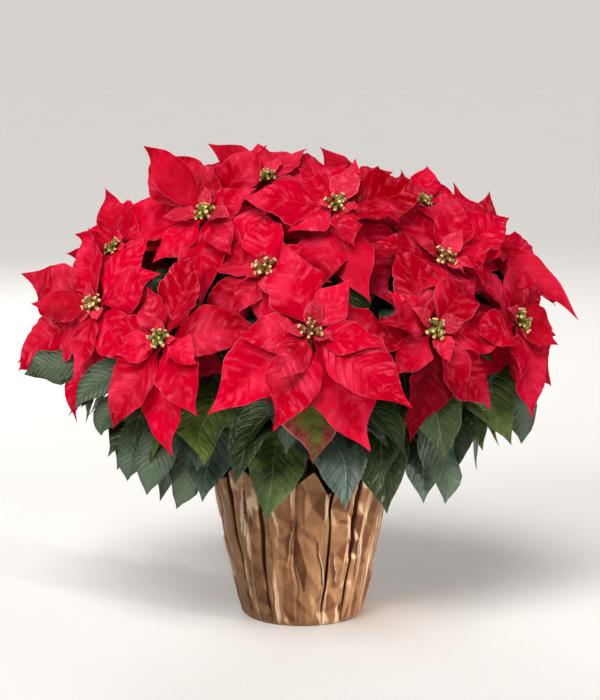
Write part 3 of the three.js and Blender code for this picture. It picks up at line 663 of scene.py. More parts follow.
def blade_tree(name, outline, stalk_share):
    """Tubes that are flattened into blades. `outline` gives the half width from root to tip."""
    tree, given = geometry_group(
        name, Rows=36, Columns=24, StalkRadius=1.3 * MM, HalfThickness=0.3 * MM, Midrib=0.7 * MM, Seed=0.0,
        Material=None,
    )
    tube = add_node(
        tree, "GeometryNodeMeshCylinder",
        {"Vertices": given["Columns"], "Side Segments": given["Rows"], "Radius": 1.0, "Depth": 1.0},
        fill_type="TRIANGLE_FAN",
    )
    x, y, z = here(tree).parts()
    tube = store(Term(tree, tube.outputs[0]), "tube", vector_of(z + 0.5, x, y), "FLOAT_VECTOR")
    copies = add_node(tree, "GeometryNodeInstanceOnPoints", {"Points": given["Geometry"], "Instance": tube})
    blades = chain(Term(tree, copies.outputs[0]), "GeometryNodeRealizeInstances")

    u, x, y = attribute(tree, "tube", "FLOAT_VECTOR").parts()
    v = x.math("ARCSINE") * (2 / math.pi)  # across the blade, from -1 at one edge to 1 at the other
    root, knee, tip, side = [attribute(tree, key, "FLOAT_VECTOR") for key in ("root", "knee", "tip", "side")]
    length, half_width, cup, skew = [attribute(tree, key) for key in ("length", "half", "cup", "skew")]
    wave, phase, rate, start, relief, lobe, pairs, hook, fold, round_tip = [
        attribute(tree, key)
        for key in ("wave", "phase", "rate", "start", "relief", "lobe", "pairs", "hook", "fold", "round")
    ]
    rest = 1 - u
    # The spine, and three directions at each place on it: along, across and up from the blade.
    spine = root * (rest**2) + knee * (u * rest * 2) + tip * (u**2)
    tangent = ((knee - root) * rest + (tip - knee) * u).unit()
    across = (side - tangent * tangent.dot(side)).unit()
    raised = tangent.cross(across)

    flat = u.step(stalk_share * 0.75, stalk_share + 0.1)
    edge = abs(v)
    way = v.math("SIGN")
    share = blend(u.curve(outline), u.curve(ROUND_OUTLINE), round_tip)
    # Lobes pull the edge out to blunt teeth, at other places on each side.
    teeth = abs((u * TEETH_RATE + phase + way * 1.1).sine()) ** 3.0
    jag = (u * JAG_RATE + phase * 5 + way * 2).sine() * JAG_DEPTH
    half = half_width * share * (1 + lobe * (teeth - 0.3) + jag)
    # Side veins run forwards as they near the edge. The blade is puffed up between them.
    vein = pairs * (u - edge * share * VEIN_SWEEP - edge * edge * edge * VEIN_CURL)
    puff = abs((vein * math.pi).sine()) ** 1.1 - 0.5
    along_and_across = u * length * BUCKLE_SCALE, v * half_width * BUCKLE_SCALE
    place = vector_of(*along_and_across, phase * 7 + given["Seed"])
    noise = add_node(tree, "ShaderNodeTexNoise", {"Vector": place, "Scale": 1.0, "Detail": 2.0})
    buckle = (Term(tree, noise.outputs[0]) - 0.5) * 2

    # The edge waves with the solid's, which has a wave at each of its rows, and frills more finely.
    row = (u - start) * rate
    late = (1 - way) * LATE_SIDE
    swell = (row * SWELL_RATE + phase + late).sine() * wave * share * edge * edge
    frill = (u * length * FRILL_RATE + phase * 3 + way).sine() * wave * share * edge**3.0 * FRILL_SHARE
    bowed = (u.step(0.55, 1.0) * math.pi).sine() * length
    trough = (cup * edge**1.4 + fold * edge) * half
    quilt = relief * puff * (1 - edge**6.0) * share
    pillow = relief * edge * (1 - edge) * share * 4
    groove = given["Midrib"] * share * (edge * edge * -60).math("EXPONENT") * -1
    crumple = buckle * relief * (edge + 0.25) * share * 2.6
    ripple = (vein * (2 * math.pi) + phase).sine() * relief * edge**4.0 * share * 0.7
    lifted = bowed * hook * HOOK_UP
    height = (trough + swell + frill + quilt + pillow + groove + crumple + ripple + lifted) * flat

    radius = given["StalkRadius"] * (1 - u**12.0)
    sideways = (bowed + u.step(0.6, 1.0) * length) * hook * HOOK_ASIDE
    reach = blend(x * radius, v * half * (1 + v * skew) + sideways, flat)
    skin = y.math("SIGN") * (1 - edge**4.0) * given["HalfThickness"] * (1 - u**8.0)
    rib = (edge * edge * -90).math("EXPONENT") * (1 - u) * given["HalfThickness"] * 2
    under = (1 - y.math("SIGN")) * -0.5 * rib
    thick = blend(y * radius, skin + under, flat)
    moved = spine + across * reach + raised * (height + thick)
    blades = chain(blades, "GeometryNodeSetPosition", {"Position": moved})
    blades = store(blades, "blade", vector_of(u, v, vein), "FLOAT_VECTOR")
    blades = store(blades, "back", y.math("LESS_THAN", 0.0))
    blades = store(blades, "UVMap", vector_of(u, v * 0.5 + 0.5, 0.0), "FLOAT2", "CORNER")
    blades = chain(blades, "GeometryNodeMergeByDistance", {"Distance": 0.02 * MM})
    finished(blades, given["Material"], BLADE_CREASE)
    return tree


BRACT_OUTLINE = [(0, 0.05), (0.1, 0.16), (0.2, 0.5), (0.33, 0.89), (0.45, 1.02), (0.56, 0.94), (0.68, 0.7),
                 (0.78, 0.42), (0.87, 0.2), (0.94, 0.08), (1, 0)]
LEAF_OUTLINE = [(0, 0.04), (0.28, 0.06), (0.36, 0.42), (0.46, 0.86), (0.56, 1.04), (0.68, 1.0), (0.8, 0.77),
                (0.9, 0.4), (0.96, 0.12), (1, 0)]
ROUND_OUTLINE = [(0, 0.05), (0.1, 0.2), (0.22, 0.62), (0.38, 0.94), (0.55, 1.02), (0.72, 0.94), (0.86, 0.66),
                 (0.95, 0.32), (1, 0)]
bract_tree = blade_tree("bract_blades", BRACT_OUTLINE, 0.06)
leaf_tree = blade_tree("leaf_blades", LEAF_OUTLINE, 0.29)
print("blade trees:", len(bract_tree.nodes), "nodes each")

# %% [markdown]
# ## Colour, veins and sheen
# A material here is again a formula. It reads what the blade tree stored on each point: how far along
# the blade and how far from its midrib the point lies, and which side vein is near. So the veins are
# painted exactly where the relief sinks, and the pale edge follows every lobe. Fixed finishes, such as
# roughness and sheen, are set straight on the shader.


# %% Helpers for materials
def ink(red, green, blue):
    """A colour given as it looks on a screen, 0 to 255, in the linear values that Blender works in."""
    linear = [((c / 255 + 0.055) / 1.055) ** 2.4 if c > 10 else c / 255 / 12.92 for c in (red, green, blue)]
    return (*linear, 1)


def surface(name, **finish):
    """A new material and its Principled shader, with the fixed parts of its finish set."""
    material = bpy.data.materials.new(name)
    material.use_nodes = True
    shader = material.node_tree.nodes["Principled BSDF"]
    for label, value in finish.items():
        shader.inputs[label.replace("_", " ")].default_value = value
    return material, material.node_tree, shader


def carried(tree, name, wide=False):
    """A value that the mesh carries, in a material; a `wide` one is a vector."""
    made = add_node(tree, "ShaderNodeAttribute", attribute_name=name)
    return Term(tree, made.outputs["Vector" if wide else "Fac"])


def spot(tree):
    """The point's place in the plant, in metres."""
    return Term(tree, add_node(tree, "ShaderNodeTexCoord").outputs["Object"])


def mottle(place, scale, detail=3.0):
    """Soft noise around 0.5; a higher scale makes it finer."""
    made = add_node(
        place.tree, "ShaderNodeTexNoise",
        {"Vector": place, "Scale": scale, "Detail": detail, "Roughness": 0.5},
    )
    return Term(place.tree, made.outputs[0])


def cells(place, scale):
    """A net of small cells: the distance from the nearest of its lines."""
    made = add_node(
        place.tree, "ShaderNodeTexVoronoi", {"Vector": place, "Scale": scale}, feature="DISTANCE_TO_EDGE",
    )
    return Term(place.tree, made.outputs["Distance"])


def dyed(base, colour, share):
    """The base colour turned towards another by a share from 0 to 1."""
    tree = share.tree
    made = add_node(tree, "ShaderNodeMix", {0: share, 6: base, 7: colour}, data_type="RGBA")
    return Term(tree, made.outputs[2])


def painted(shader, colour, height=None, depth=0.0, strength=1.0, roughness=None):
    """Joins the colour, the relief (`depth` metres high) and the roughness to a shader."""
    tree = colour.tree
    tree.links.new(colour.out, shader.inputs["Base Color"])
    if height is not None:
        relief = add_node(tree, "ShaderNodeBump", {"Height": height, "Strength": strength, "Distance": depth})
        tree.links.new(relief.outputs[0], shader.inputs["Normal"])
    if roughness is not None:
        tree.links.new(roughness.out, shader.inputs["Roughness"])


print("material helpers ready")

# %% [markdown]
# ## Velvet red and dark green
# A bract is matt and velvety: sheen gives the pinkish bloom where it turns away from the eye, and
# clouds of painted sheen and painted highlights add to it. Its edge is thin and pale. The last bract
# to turn red is still part green. A leaf is smoother, so it mirrors the pale room. Its light veins lie
# on a deep green, which is yellowish in some and has a painted blue-grey sheen in others.


# %% Bract material
def blade_terms(tree, veins=1.0):
    """What both blade materials need: place on the blade, closeness to a vein, streaks, back and tint."""
    u, v, vein = carried(tree, "blade", wide=True).parts()
    vein = vein * veins
    ridge = 1 - abs((vein * math.pi).sine())
    tint = carried(tree, "tint")
    streaks = mottle(vector_of(vein * 1.1, v * 1.7, tint * 40), 1.0, 3.0)  # they run along the side veins
    return u, abs(v), ridge, streaks, carried(tree, "back"), tint


bract_red, tree, shader = surface(
    "bract_velvet", Roughness=0.5, Specular_IOR_Level=0.0, Sheen_Weight=0.05, Sheen_Roughness=0.4,
    Sheen_Tint=(1, 0.08, 0.25, 1),
)
u, edge, ridge, streaks, back, tint = blade_terms(tree)
place = spot(tree)
green = carried(tree, "green")
fresh = carried(tree, "fresh")
ribbed = (carried(tree, "relief") * 600).math("MINIMUM", 1.0)
# Red: a shade for each bract, clouds of painted sheen, and painted highlights on the puffs between the side
# veins with a painted sparkle in them; the young inner bracts are also lighter in colour.
own_shade = (tint * 0.7 + mottle(place, 38.0) * 0.6 - 0.15).step(0.0, 1.0)
colour = dyed(ink(146, 0, 12), ink(208, 0, 44), own_shade)
# Clouds of painted sheen.
colour = dyed(colour, ink(252, 58, 96), mottle(place, 26.0, 2.0).step(0.46, 0.72) * 0.42)
# Painted highlights on the puffs between the side veins, strongest on ribbed bracts; young inner bracts are
# also lighter in colour.
painted_highlight_patch = (streaks * 0.9 - 0.4).step(0.0, 0.3) * (1 - ridge.step(0.3, 0.9) * ribbed)
highlight_and_young_pallor = painted_highlight_patch * (ribbed * 0.4 + fresh * 0.2 + 0.12) + fresh.step(0.6, 1.0) * 0.15
colour = dyed(colour, ink(252, 82, 114), highlight_and_young_pallor)
# A painted sparkle of fine pale flecks within those highlights.
sparkle = mottle(place, 300.0, 2.0).step(0.5, 0.68) * painted_highlight_patch
colour = dyed(colour, ink(255, 132, 142), sparkle * (ribbed * 0.15 + fresh * 0.2 + 0.03))
# Veins: painted shade in the furrows where the relief is strong, a fine dark net, and pale lines on the young
# inner bracts.
net = cells(place, 420.0)
furrow_shade_and_net = ridge.step(0.5, 0.98) * ribbed * ribbed * 0.3 + (1 - net.step(0.0, 0.12)) * 0.05
colour = dyed(colour, ink(150, 0, 12), furrow_shade_and_net)
colour = dyed(colour, ink(232, 50, 66), (1 - edge.step(0.012, 0.04)) * 0.25 * (1 - u.step(0.6, 0.95)))
young = fresh.step(0.72, 0.92)
pale_veins = ridge.step(0.82, 1.0) * 0.42 + (1 - net.step(0.0, 0.12)) * 0.1
colour = dyed(colour, ink(252, 120, 132), pale_veins * young)
rim = edge.step(0.95 - carried(tree, "round") * 0.12, 1.0)
colour = dyed(colour, ink(246, 104, 122), rim * (mottle(place, 30.0).step(0.3, 0.7) * 0.5 + young * 0.35))
# The part green bract: a brownish red margin, and a green middle with blotchy borders.
blotch = (mottle(place, 50.0) - 0.5) * 1.2 + (streaks - 0.5) * 0.9 - ridge.step(0.7, 1.0) * 0.2
leafy = (green * (1.05 - edge * 0.9 - u * 0.15 + blotch)).step(0.1, 0.95)
margin = dyed(ink(140, 68, 62), ink(112, 46, 38), mottle(place, 160.0).step(0.4, 0.65))
colour = dyed(colour, dyed(margin, ink(176, 104, 92), ridge.step(0.75, 0.98) * 0.5), green * 0.97)
leaf_part = dyed(ink(88, 80, 40), ink(98, 118, 48), (streaks + 0.3 - u * 0.5).step(0.35, 0.7))
colour = dyed(colour, dyed(leaf_part, ink(140, 134, 82), ridge.step(0.8, 0.99) * 0.4), leafy)
colour = dyed(colour, ink(206, 134, 126), edge.step(0.88, 0.98) * green * 0.55)
# A darker red: painted shade on the lower bracts, the dusky colour of the bract that was late to turn, the
# underside, and the dry tip.
colour = dyed(colour, ink(96, 6, 14), carried(tree, "dusk_and_shade"))
colour = dyed(colour, ink(186, 18, 40), back * 0.5)
colour = dyed(colour, ink(70, 24, 16), u.step(0.97, 1.0) * 0.7)
height = ridge.step(0.45, 1.0) * ribbed * -0.4 + net.step(0.0, 0.35) * 0.16 + mottle(place, 900.0, 2.0) * 0.06
painted(shader, colour, height, 0.6 * MM, 1.0)
print("bract material:", len(tree.nodes), "nodes")

# %% Leaf material
leaf_green, tree, shader = surface(
    "leaf_satin", Roughness=0.4, Specular_IOR_Level=0.36, Coat_Weight=0.05, Coat_Roughness=0.35,
)
u, edge, ridge, streaks, back, tint = blade_terms(tree, 1.3)
place = spot(tree)
# Most leaves are deep green. Those with a middle tint get a painted blue-grey sheen, and those with a high
# one are yellowish.
own_shade = (tint * 0.8 + mottle(place, 30.0) * 0.5 - 0.15).step(0.0, 1.0)
painted_bluish_sheen = (tint - 0.42).step(0.0, 0.1) * (0.72 - tint).step(0.0, 0.06) * 0.66
yellowish = (tint - 0.78).step(0.0, 0.12) * mottle(place, 45.0).step(0.3, 0.65) * 0.8
colour = dyed(ink(20, 34, 10), ink(44, 62, 18), own_shade)
colour = dyed(colour, ink(62, 79, 76), painted_bluish_sheen)
colour = dyed(colour, ink(98, 118, 42), yellowish)
# Painted sheen between the veins and painted shade beside them, then the pale veins, midrib, edge, underside
# and reddish stalk.
net = cells(place, 380.0)
colour = dyed(colour, ink(78, 98, 66), streaks.step(0.45, 0.72) * (1 - ridge.step(0.2, 0.7)) * 0.35)
colour = dyed(colour, ink(18, 30, 14), ridge.step(0.4, 0.85) * 0.25)
colour = dyed(colour, ink(88, 108, 72), ridge.step(0.88, 1.0) * 0.5 + (1 - net.step(0.0, 0.1)) * 0.08)
colour = dyed(colour, ink(116, 134, 90), (1 - edge.step(0.01, 0.04)) * 0.65)
colour = dyed(colour, ink(120, 128, 92), edge.step(0.93, 1.0) * 0.4)
colour = dyed(colour, ink(84, 100, 76), back * 0.7)
colour = dyed(colour, ink(128, 66, 56), 1 - u.step(0.2, 0.36))
height = ridge.step(0.2, 1.0) * -1.0 + streaks * 0.9 + net.step(0.0, 0.4) * 0.3
painted(shader, colour, height, 0.65 * MM, 0.8)
print("leaf material:", len(tree.nodes), "nodes")

# %% [markdown]
# ## Bracts
# Each bloom is one mesh grown from one seed point per bract. The lowest bracts of two blooms were the
# last leaves to turn red, so one is still half green and another is a dusky red.

# %% Bracts
ROWS_OF_LARGE = (0.1, 1 / 0.24)  # where the first of the solid's rows lies, and rows per length
ROWS_OF_MEDIUM = (0.12, 1 / 0.32)
BRACT_VEINS = (4, 13)  # pairs of side veins on the shortest blade, and the length that adds one more
LOBED_SHARE, LOBES, NO_LOBES = 0.48, (0.1, 0.22), 0.03  # how many blades have lobes, and how deep
RELIEFS, RELIEF_FULL_AT = (0.35, 1.9), 80  # depth of the puckers, and from which length it is full
HOOKS, FOLDS = (-1, 1), (-0.15, 0.28)  # how far the tip bends aside, and how far the halves fold up
GREEN_BRACT, DUSKY_BRACT = (1, 179), (3, 191)  # bloom and clock angle
DUSK, LOWER_PAINTED_SHADE = 0.7, 0.35  # how dark the dusky bract is, and the painted shade on the lower ones
fine_draw = seeded(77)


def blade_row(blade, waves, veins):
    """The values that one seed point carries, in metres."""
    start, rate = waves
    veins_from, vein_every = veins
    length = (blade["tip"] - blade["root"]).length
    lobed = next(fine_draw) < LOBED_SHARE
    relief = between(*RELIEFS, next(fine_draw) ** 1.6) * min(1, length / RELIEF_FULL_AT)
    return {
        "co": blade["root"] * MM, "root": blade["root"] * MM, "knee": blade["knee"] * MM,
        "tip": blade["tip"] * MM, "side": blade["side"], "length": length * MM, "half": blade["half"] * MM,
        "cup": blade["cup"], "skew": blade["skew"], "wave": blade["wave"] * MM, "phase": blade["phase"],
        "start": start, "rate": rate, "relief": relief * MM,
        "lobe": between(*LOBES, next(fine_draw)) if lobed else NO_LOBES,
        "pairs": veins_from + length / vein_every, "tint": next(fine_draw),
        "hook": between(*HOOKS, next(fine_draw)), "fold": between(*FOLDS, next(fine_draw)),
        "round": 0.0,
    }


def joined(name, pieces):
    """Several mesh objects as one, which keeps the first one's place in the list of objects."""
    bpy.ops.object.select_all(action="DESELECT")
    for piece in pieces:
        piece.select_set(True)
    bpy.context.view_layer.objects.active = pieces[0]
    if len(pieces) > 1:
        bpy.ops.object.join()
    pieces[0].name = pieces[0].data.name = name
    return pieces[0]


def bract_row(bloom, blade):
    """A bract's seed row, with what makes the innermost ones and the last ones to turn red different."""
    waves = ROWS_OF_LARGE if blade["length"] >= LARGE_FROM else ROWS_OF_MEDIUM
    row = blade_row(blade, waves, BRACT_VEINS)
    if blade["length"] < MEDIUM_FROM:  # the innermost are round, cupped and still growing
        row["wave"], row["lobe"], row["relief"] = 0.0, 0.0, 0.8 * MM
        row["round"], row["fold"] = between(0, 0.8, next(fine_draw)), between(0.1, 0.5, next(fine_draw))
        grown_to = between(0.5, 1.15, next(fine_draw))
        swing = Matrix.Rotation(between(-0.6, 0.6, next(fine_draw)), 3, bloom["axis"])
        for key in ("knee", "tip"):
            row[key] = row["root"] + swing @ (row[key] - row["root"]) * grown_to
        row["side"] = swing @ row["side"]
        row["half"] *= grown_to * between(0.8, 1.1, next(fine_draw))
    own = (bloom["number"], blade["clock"])
    row["green"] = 1.0 if own == GREEN_BRACT else 0.0
    row["dusk_and_shade"] = DUSK if own == DUSKY_BRACT else 0.0
    row["fresh"] = blade["inward"]
    return row


for bloom in blooms:
    name, seed = f"bloom_{bloom['number']:02d}_bracts", float(bloom["number"])
    large = [bract_row(bloom, blade) for blade in bloom["bracts"] if blade["length"] >= LARGE_FROM]
    small = [bract_row(bloom, blade) for blade in bloom["bracts"] if blade["length"] < LARGE_FROM]
    look = {"Seed": seed, "Material": bract_red}
    parts = [grown("small", seed_mesh("small", small), bract_tree, Rows=28, Columns=18, **look)]
    if large:
        parts.append(grown("large", seed_mesh("large", large), bract_tree, **look))
    belongs(joined(name + "_fine", parts), "red_bract", name)
print("bract pieces:", len(blooms), "triangles:", sum(TRIANGLES.values()))

# %% [markdown]
# ## Lower bracts
# A real bloom has more bracts than one sees at first: shorter ones fill the gaps behind the large ones,
# so that no daylight shows between them. The solids leave them out, to stay light. Each goes to the
# middle of one of the widest gaps of its bloom and leans back. A few single bracts close what gaps are
# left and stand at the edge of the plant.

# %% Lower bracts
LOWER_BRACTS, LARGER_THAN = 7, 60  # how many a bloom may have, and the length of those whose gaps they fill
LOWER_SIZES, LOWER_LIFTS = (0.72, 0.86), (-26, -12)  # share of the shorter neighbour's length, and degrees
LOWER_SHAPE = {"height": -HUB_HEIGHT - 2, "curl": 26, "width": 0.29, "inward": 0}


def lower_bracts(bloom):
    """The blades that fill one bloom's widest gaps."""
    stand = bloom["stand"]
    around = sorted((b["clock"] % 360, b["length"]) for b in bloom["bracts"] if b["length"] > LARGER_THAN)
    first_again = (around[0][0] + 360, around[0][1])
    gaps = []
    for (clock, length), (following, other) in zip(around, [*around[1:], first_again]):
        gaps.append((following - clock, (clock + following) / 2, min(length, other)))
    for _, clock, length in sorted(gaps, reverse=True)[:LOWER_BRACTS]:
        uphill = math.cos(math.radians(clock)) * (1 - bloom["axis"].z ** 2) ** 0.5
        spec = {"clock": clock, "length": length * between(*LOWER_SIZES, next(fine_draw)), **LOWER_SHAPE}
        spec["lift"] = between(*LOWER_LIFTS, next(fine_draw)) + UPHILL_LIFT * uphill
        temper = temperament(fine_draw)
        root, knee, tip, side, half = bend_bract(spec, temper, BENDS[0], stand)
        yield {**spec, **temper, "root": root, "knee": knee, "tip": tip, "side": side, "half": half}


# The lower bracts stand behind the large ones, so they get painted shade: a darker red.
rows = [{**bract_row(bloom, blade), "dusk_and_shade": LOWER_PAINTED_SHADE} for bloom in blooms for blade in lower_bracts(bloom)]
SINGLE_BRACTS = [  # bloom, knee, tip and half width of bracts at the edge of the plant and in its widest gaps
    (4, (-125, -50, 430), (-146, -55, 448), 17),
    (13, (-62, 10, 436), (-89, 14, 450), 15),
    (13, (-36, 30, 437), (-41, 40, 449), 12),
    (14, (35, 60, 425), (17, 62, 443), 14),
    (10, (-178, -5, 384), (-186, -2, 408), 15),
    (10, (-195, -14, 361), (-213, -16, 365), 11),
    (10, (-200, -20, 344), (-220, -24, 347), 10),
    (7, (-224, -66, 309), (-248, -64, 308), 14),
    (16, (-240, -10, 270), (-268, -20, 244), 13),
    (11, (213, -18, 340), (256, -36, 286), 16),
    (9, (215, -60, 304), (231, -62, 283), 13),
    (9, (220, -66, 278), (235, -66, 270), 10),
    (5, (44, -110, 361), (63, -130, 317), 20),
    (9, (195, -76, 246), (197, -80, 225), 6),
    (10, (-186, -20, 356), (-178, -40, 330), 14),
]


def facing_forwards(root, knee, tip, half):
    """A single blade that shows its upper side to the front."""
    side = (tip - knee).cross(Vector((0, -1, 0.2))).normalized()
    return {"root": root, "knee": knee, "tip": tip, "side": side, "half": half, **temperament(fine_draw)}


for number, knee, tip, half in SINGLE_BRACTS:
    bloom = blooms[number - 1]
    root = bloom["branch"][2]
    blade = facing_forwards(root, Vector(knee), Vector(tip), half)
    row = bract_row(bloom, {**blade, "length": LARGE_FROM, "clock": 0, "inward": 0})
    rows.append({**row, "lobe": NO_LOBES})
seeds = seed_mesh("lower_bracts", rows)
piece = grown("lower_bracts", seeds, bract_tree, Rows=22, Columns=14, Seed=50.0, Material=bract_red)
belongs(piece, "red_bract")
print("lower bracts:", len(rows), "triangles:", TRIANGLES["lower_bracts"])

# %% [markdown]
# ## Leaves keep behind bracts
# A leaf that passes through a bract would show as a green splinter on it. So all the red blades are put
# into one search tree, and each leaf is pushed inwards in small steps until its midrib and its half
# widths no longer meet any of them.

# %% Leaves keep behind bracts
red_points, red_faces = [], []
for piece in scene.objects:
    if piece.name.endswith("_bracts_fine") or piece.name == "lower_bracts":
        start = len(red_points)
        red_points += [vertex.co.copy() for vertex in piece.data.vertices]
        red_faces += [tuple(start + i for i in face.vertices) for face in piece.data.polygons]
red_cover = BVHTree.FromPolygons(red_points, red_faces)
# Places along a leaf, each with the share of its half width there.
BLADE_WIDTHS = [(0.34, 0.2), (0.42, 0.6), (0.5, 0.95), (0.6, 1), (0.7, 0.95), (0.8, 0.7), (0.9, 0.4), (1, 0)]
LEVELS = (-2 * MM, 0, 2 * MM)  # below, in and above the leaf
LEAF_WAVES, LEAF_VEINS = (0.3, 4.0), (4.0, 14)  # as for bracts
PUSH_STEP, INWARD_DROP = 2, 0.3  # millimetres, and how far a push goes down for each one inwards
pushed = []


def crossings(row):
    """How many of a leaf's midrib parts and half widths pass through a bract."""
    path = [on_curve((row["root"], row["knee"], row["tip"]), share) for share, _ in BLADE_WIDTHS]
    raised = (row["tip"] - row["knee"]).cross(row["side"]).normalized()
    ways = list(zip(path, path[1:]))
    for point, (_, wide) in zip(path, BLADE_WIDTHS):
        half = row["half"] * wide
        edge = point + raised * (half * (row["cup"] + row["fold"]))
        ways += [(point, edge + row["side"] * (half * sign)) for sign in (-1, 1) if wide]
    met = 0
    for start, end in ways:
        way = end - start
        for level in LEVELS:
            hit = red_cover.ray_cast(start + raised * level, way.normalized(), way.length)
            met += hit[0] is not None
    return met


def leaf_row(leaf, furthest):
    """A leaf's seed row, pushed inwards by up to `furthest` until it meets no bract, or as few as it can."""
    row = blade_row(leaf, LEAF_WAVES, LEAF_VEINS)
    inwards = Vector((-row["tip"].x, -row["tip"].y, -INWARD_DROP * row["tip"].xy.length)).normalized()
    tries = []
    for push in range(0, furthest + 1, PUSH_STEP):
        shift = inwards * (push * MM)
        moved = {**row, "knee": row["knee"] + shift * 0.5, "tip": row["tip"] + shift}
        tries.append((crossings(moved), push, moved))
        if not tries[-1][0]:
            break
    _, push, moved = min(tries, key=lambda row: row[:2])
    pushed.append(push)
    return moved


print("red faces:", len(red_faces))

# %% [markdown]
# ## Canes and leaves
# The canes are lines that a second tree turns into tapering tubes, a little uneven like grown wood.
# A cane and its leaves are one growth, so each stem is one piece made of the two trees' meshes.


# %% Cane tree
def cane_tree():
    """Tapering tubes along lines, whose points carry a radius."""
    tree, given = geometry_group("canes", Sides=12, Unevenness=0.35 * MM, Material=None)
    line = Term(tree, add_node(tree, "GeometryNodeMeshToCurve", {"Mesh": given["Geometry"]}).outputs[0])
    ring = add_node(tree, "GeometryNodeCurvePrimitiveCircle", {"Resolution": given["Sides"], "Radius": 1.0})
    tube = add_node(
        tree, "GeometryNodeCurveToMesh",
        {"Curve": line, "Profile Curve": Term(tree, ring.outputs[0]), "Scale": attribute(tree, "radius"),
         "Fill Caps": True},
    )
    normal = Term(tree, add_node(tree, "GeometryNodeInputNormal").outputs[0])
    bumps = Term(tree, add_node(tree, "ShaderNodeTexNoise", {"Vector": here(tree), "Scale": 90.0}).outputs[0])
    uneven = normal * ((bumps - 0.5) * 2 * given["Unevenness"])
    canes = chain(Term(tree, tube.outputs[0]), "GeometryNodeSetPosition", {"Offset": uneven})
    finished(canes, given["Material"], 1.2)
    return tree


canes_tree = cane_tree()
print("cane tree:", len(canes_tree.nodes), "nodes")

# %% Cane material
cane_bark, tree, shader = surface("cane_bark", Roughness=0.6, Specular_IOR_Level=0.35)
place = spot(tree)
_, _, level = place.parts()
colour = dyed(ink(96, 78, 52), ink(92, 104, 58), level.step(0.12, 0.24))
colour = dyed(colour, ink(134, 60, 54), (level.step(0.2, 0.34) * mottle(place, 60.0)).step(0.2, 0.7) * 0.7)
painted(shader, colour, mottle(place, 500.0, 4.0), 0.4 * MM)
print("cane material:", len(tree.nodes), "nodes")


# %% Canes and leaves
STEPS = 14  # edges in a stem's line and in each branch's
STEM_RADII, BRANCH_RADII = (5, 4.4), (3.1, 2.7)  # at the lower end and at the upper end
STEM_LEAVES_PUSH = 14
STEM_LEAF_LOOK = {"StalkRadius": 1.5 * MM, "Midrib": 0.9 * MM, "Seed": 40.0, "Material": leaf_green}


def line_rows(line, radii):
    """The points of one cane, from a function that gives a place for each share from 0 to 1."""
    return [
        {"co": line(i / STEPS) * MM, "radius": radius * MM}
        for i, radius in enumerate(np.linspace(*radii, STEPS + 1))
    ]


for name, stem in stems.items():
    foot, fork = stem_point(stem["turn"], *STEM_FOOT), stem_point(stem["turn"], *STEM_FORK)
    rows = line_rows(lambda share: foot + (fork - foot) * share, STEM_RADII)
    edges = [(i, i + 1) for i in range(STEPS)]
    for branch in stem["branches"]:
        edges += [(len(rows) + i, len(rows) + i + 1) for i in range(STEPS)]
        rows += line_rows(lambda share: on_curve(branch, share), BRANCH_RADII)
    canes = grown("canes", seed_mesh("cane_lines", rows, edges), canes_tree, Material=cane_bark)
    seeds = seed_mesh("leaf_seeds", [leaf_row(leaf, STEM_LEAVES_PUSH) for leaf in stem["leaves"]])
    leaves = grown("leaves", seeds, leaf_tree, **STEM_LEAF_LOOK)
    piece = joined(f"leafy_stem_{name}_fine", [leaves, canes])
    belongs(piece, "green_leaf", f"leafy_stem_{name}")
print("triangles so far:", sum(TRIANGLES.values()), "leaves pushed:", sum(push > 0 for push in pushed))

# %% [markdown]
# ## Inner leaves
# Under every bloom a few more leaves stand round the branch. They close the view into the plant and
# show mostly as dark green between the bracts, so the solids leave them out too. More leaves hang
# under the lowest blooms and make the green fringe round the pot, and single ones fill its gaps.

# %% Inner leaves
INNER_LEAVES, COLLAR_LEAVES = 5, 4  # round each branch, and close under each bloom
INNER_HALF, COLLAR_HALF, OUTER_HALF = 19, 16, 25  # half widths
INNER_SIZES, OUTER_SIZES, COLLAR_SIZE = (56, 72), (78, 92), 44  # lengths of the blades
INNER_ROOTS, OUTER_ROOTS, GAP_ROOT = (0.5, 0.76), (0.52, 0.62), 0.62  # how far along their branch they start
COLLAR_DROPS = (8, 12)  # how far below the flowers the collar starts
INNER_BACK, COLLAR_BACK = (0.35, 0.8), 0.3  # how far they lean back, for each unit outwards
INNER_STALK, OUTER_STALK, COLLAR_STALK = 22, 21, (12, 3)  # lengths; the collar's as outwards and back
STRAY = (-0.25, 0.25)  # as a share of the step from leaf to leaf
OUTER_STRAY, OUTER_HANG, OUTER_RISE = (-9, 9), (-8, 8), -10  # degrees: sideways, hanging and of the stalk
LOW_BLOOM = 0.62  # a bloom that faces further up than this has no outer leaves
CLEAR_OF_BRACT = 30  # degrees to each side of the green or dusky bract that outer leaves leave free
INNER_LEAVES_PUSH, GAP_LEAVES_PUSH = 16, 8
GAP_LEAVES = [  # bloom, knee, tip, half width and tint of single leaves in gaps and along the lower edge
    (7, (-225, -58, 248), (-254, -62, 237), 15, 0.05),
    (2, (-176, -94, 267), (-205, -94, 215), 15, 0.25),
    (2, (-193, -86, 220), (-183, -88, 189), 13, 0.3),
    (2, (-166, -100, 191), (-162, -104, 150), 14, 0.6),
    (2, (-135, -112, 190), (-140, -116, 140), 17, 0.5),
    (2, (-100, -96, 173), (-118, -96, 124), 16, 0.3),
    (3, (133, -92, 175), (125, -96, 128), 15, 0.6),
    (9, (213, -54, 231), (204, -58, 175), 18, 0.55),
    (9, (165, 15, 350), (224, 10, 306), 24, 0.3),
    (12, (100, 36, 385), (150, 40, 392), 13, 0.3),
]
OUTER_LEAVES = [(-60, 50), (-20, 66), (24, 60), (64, 50)]  # sideways turn and hang, under the lowest blooms
rows = []
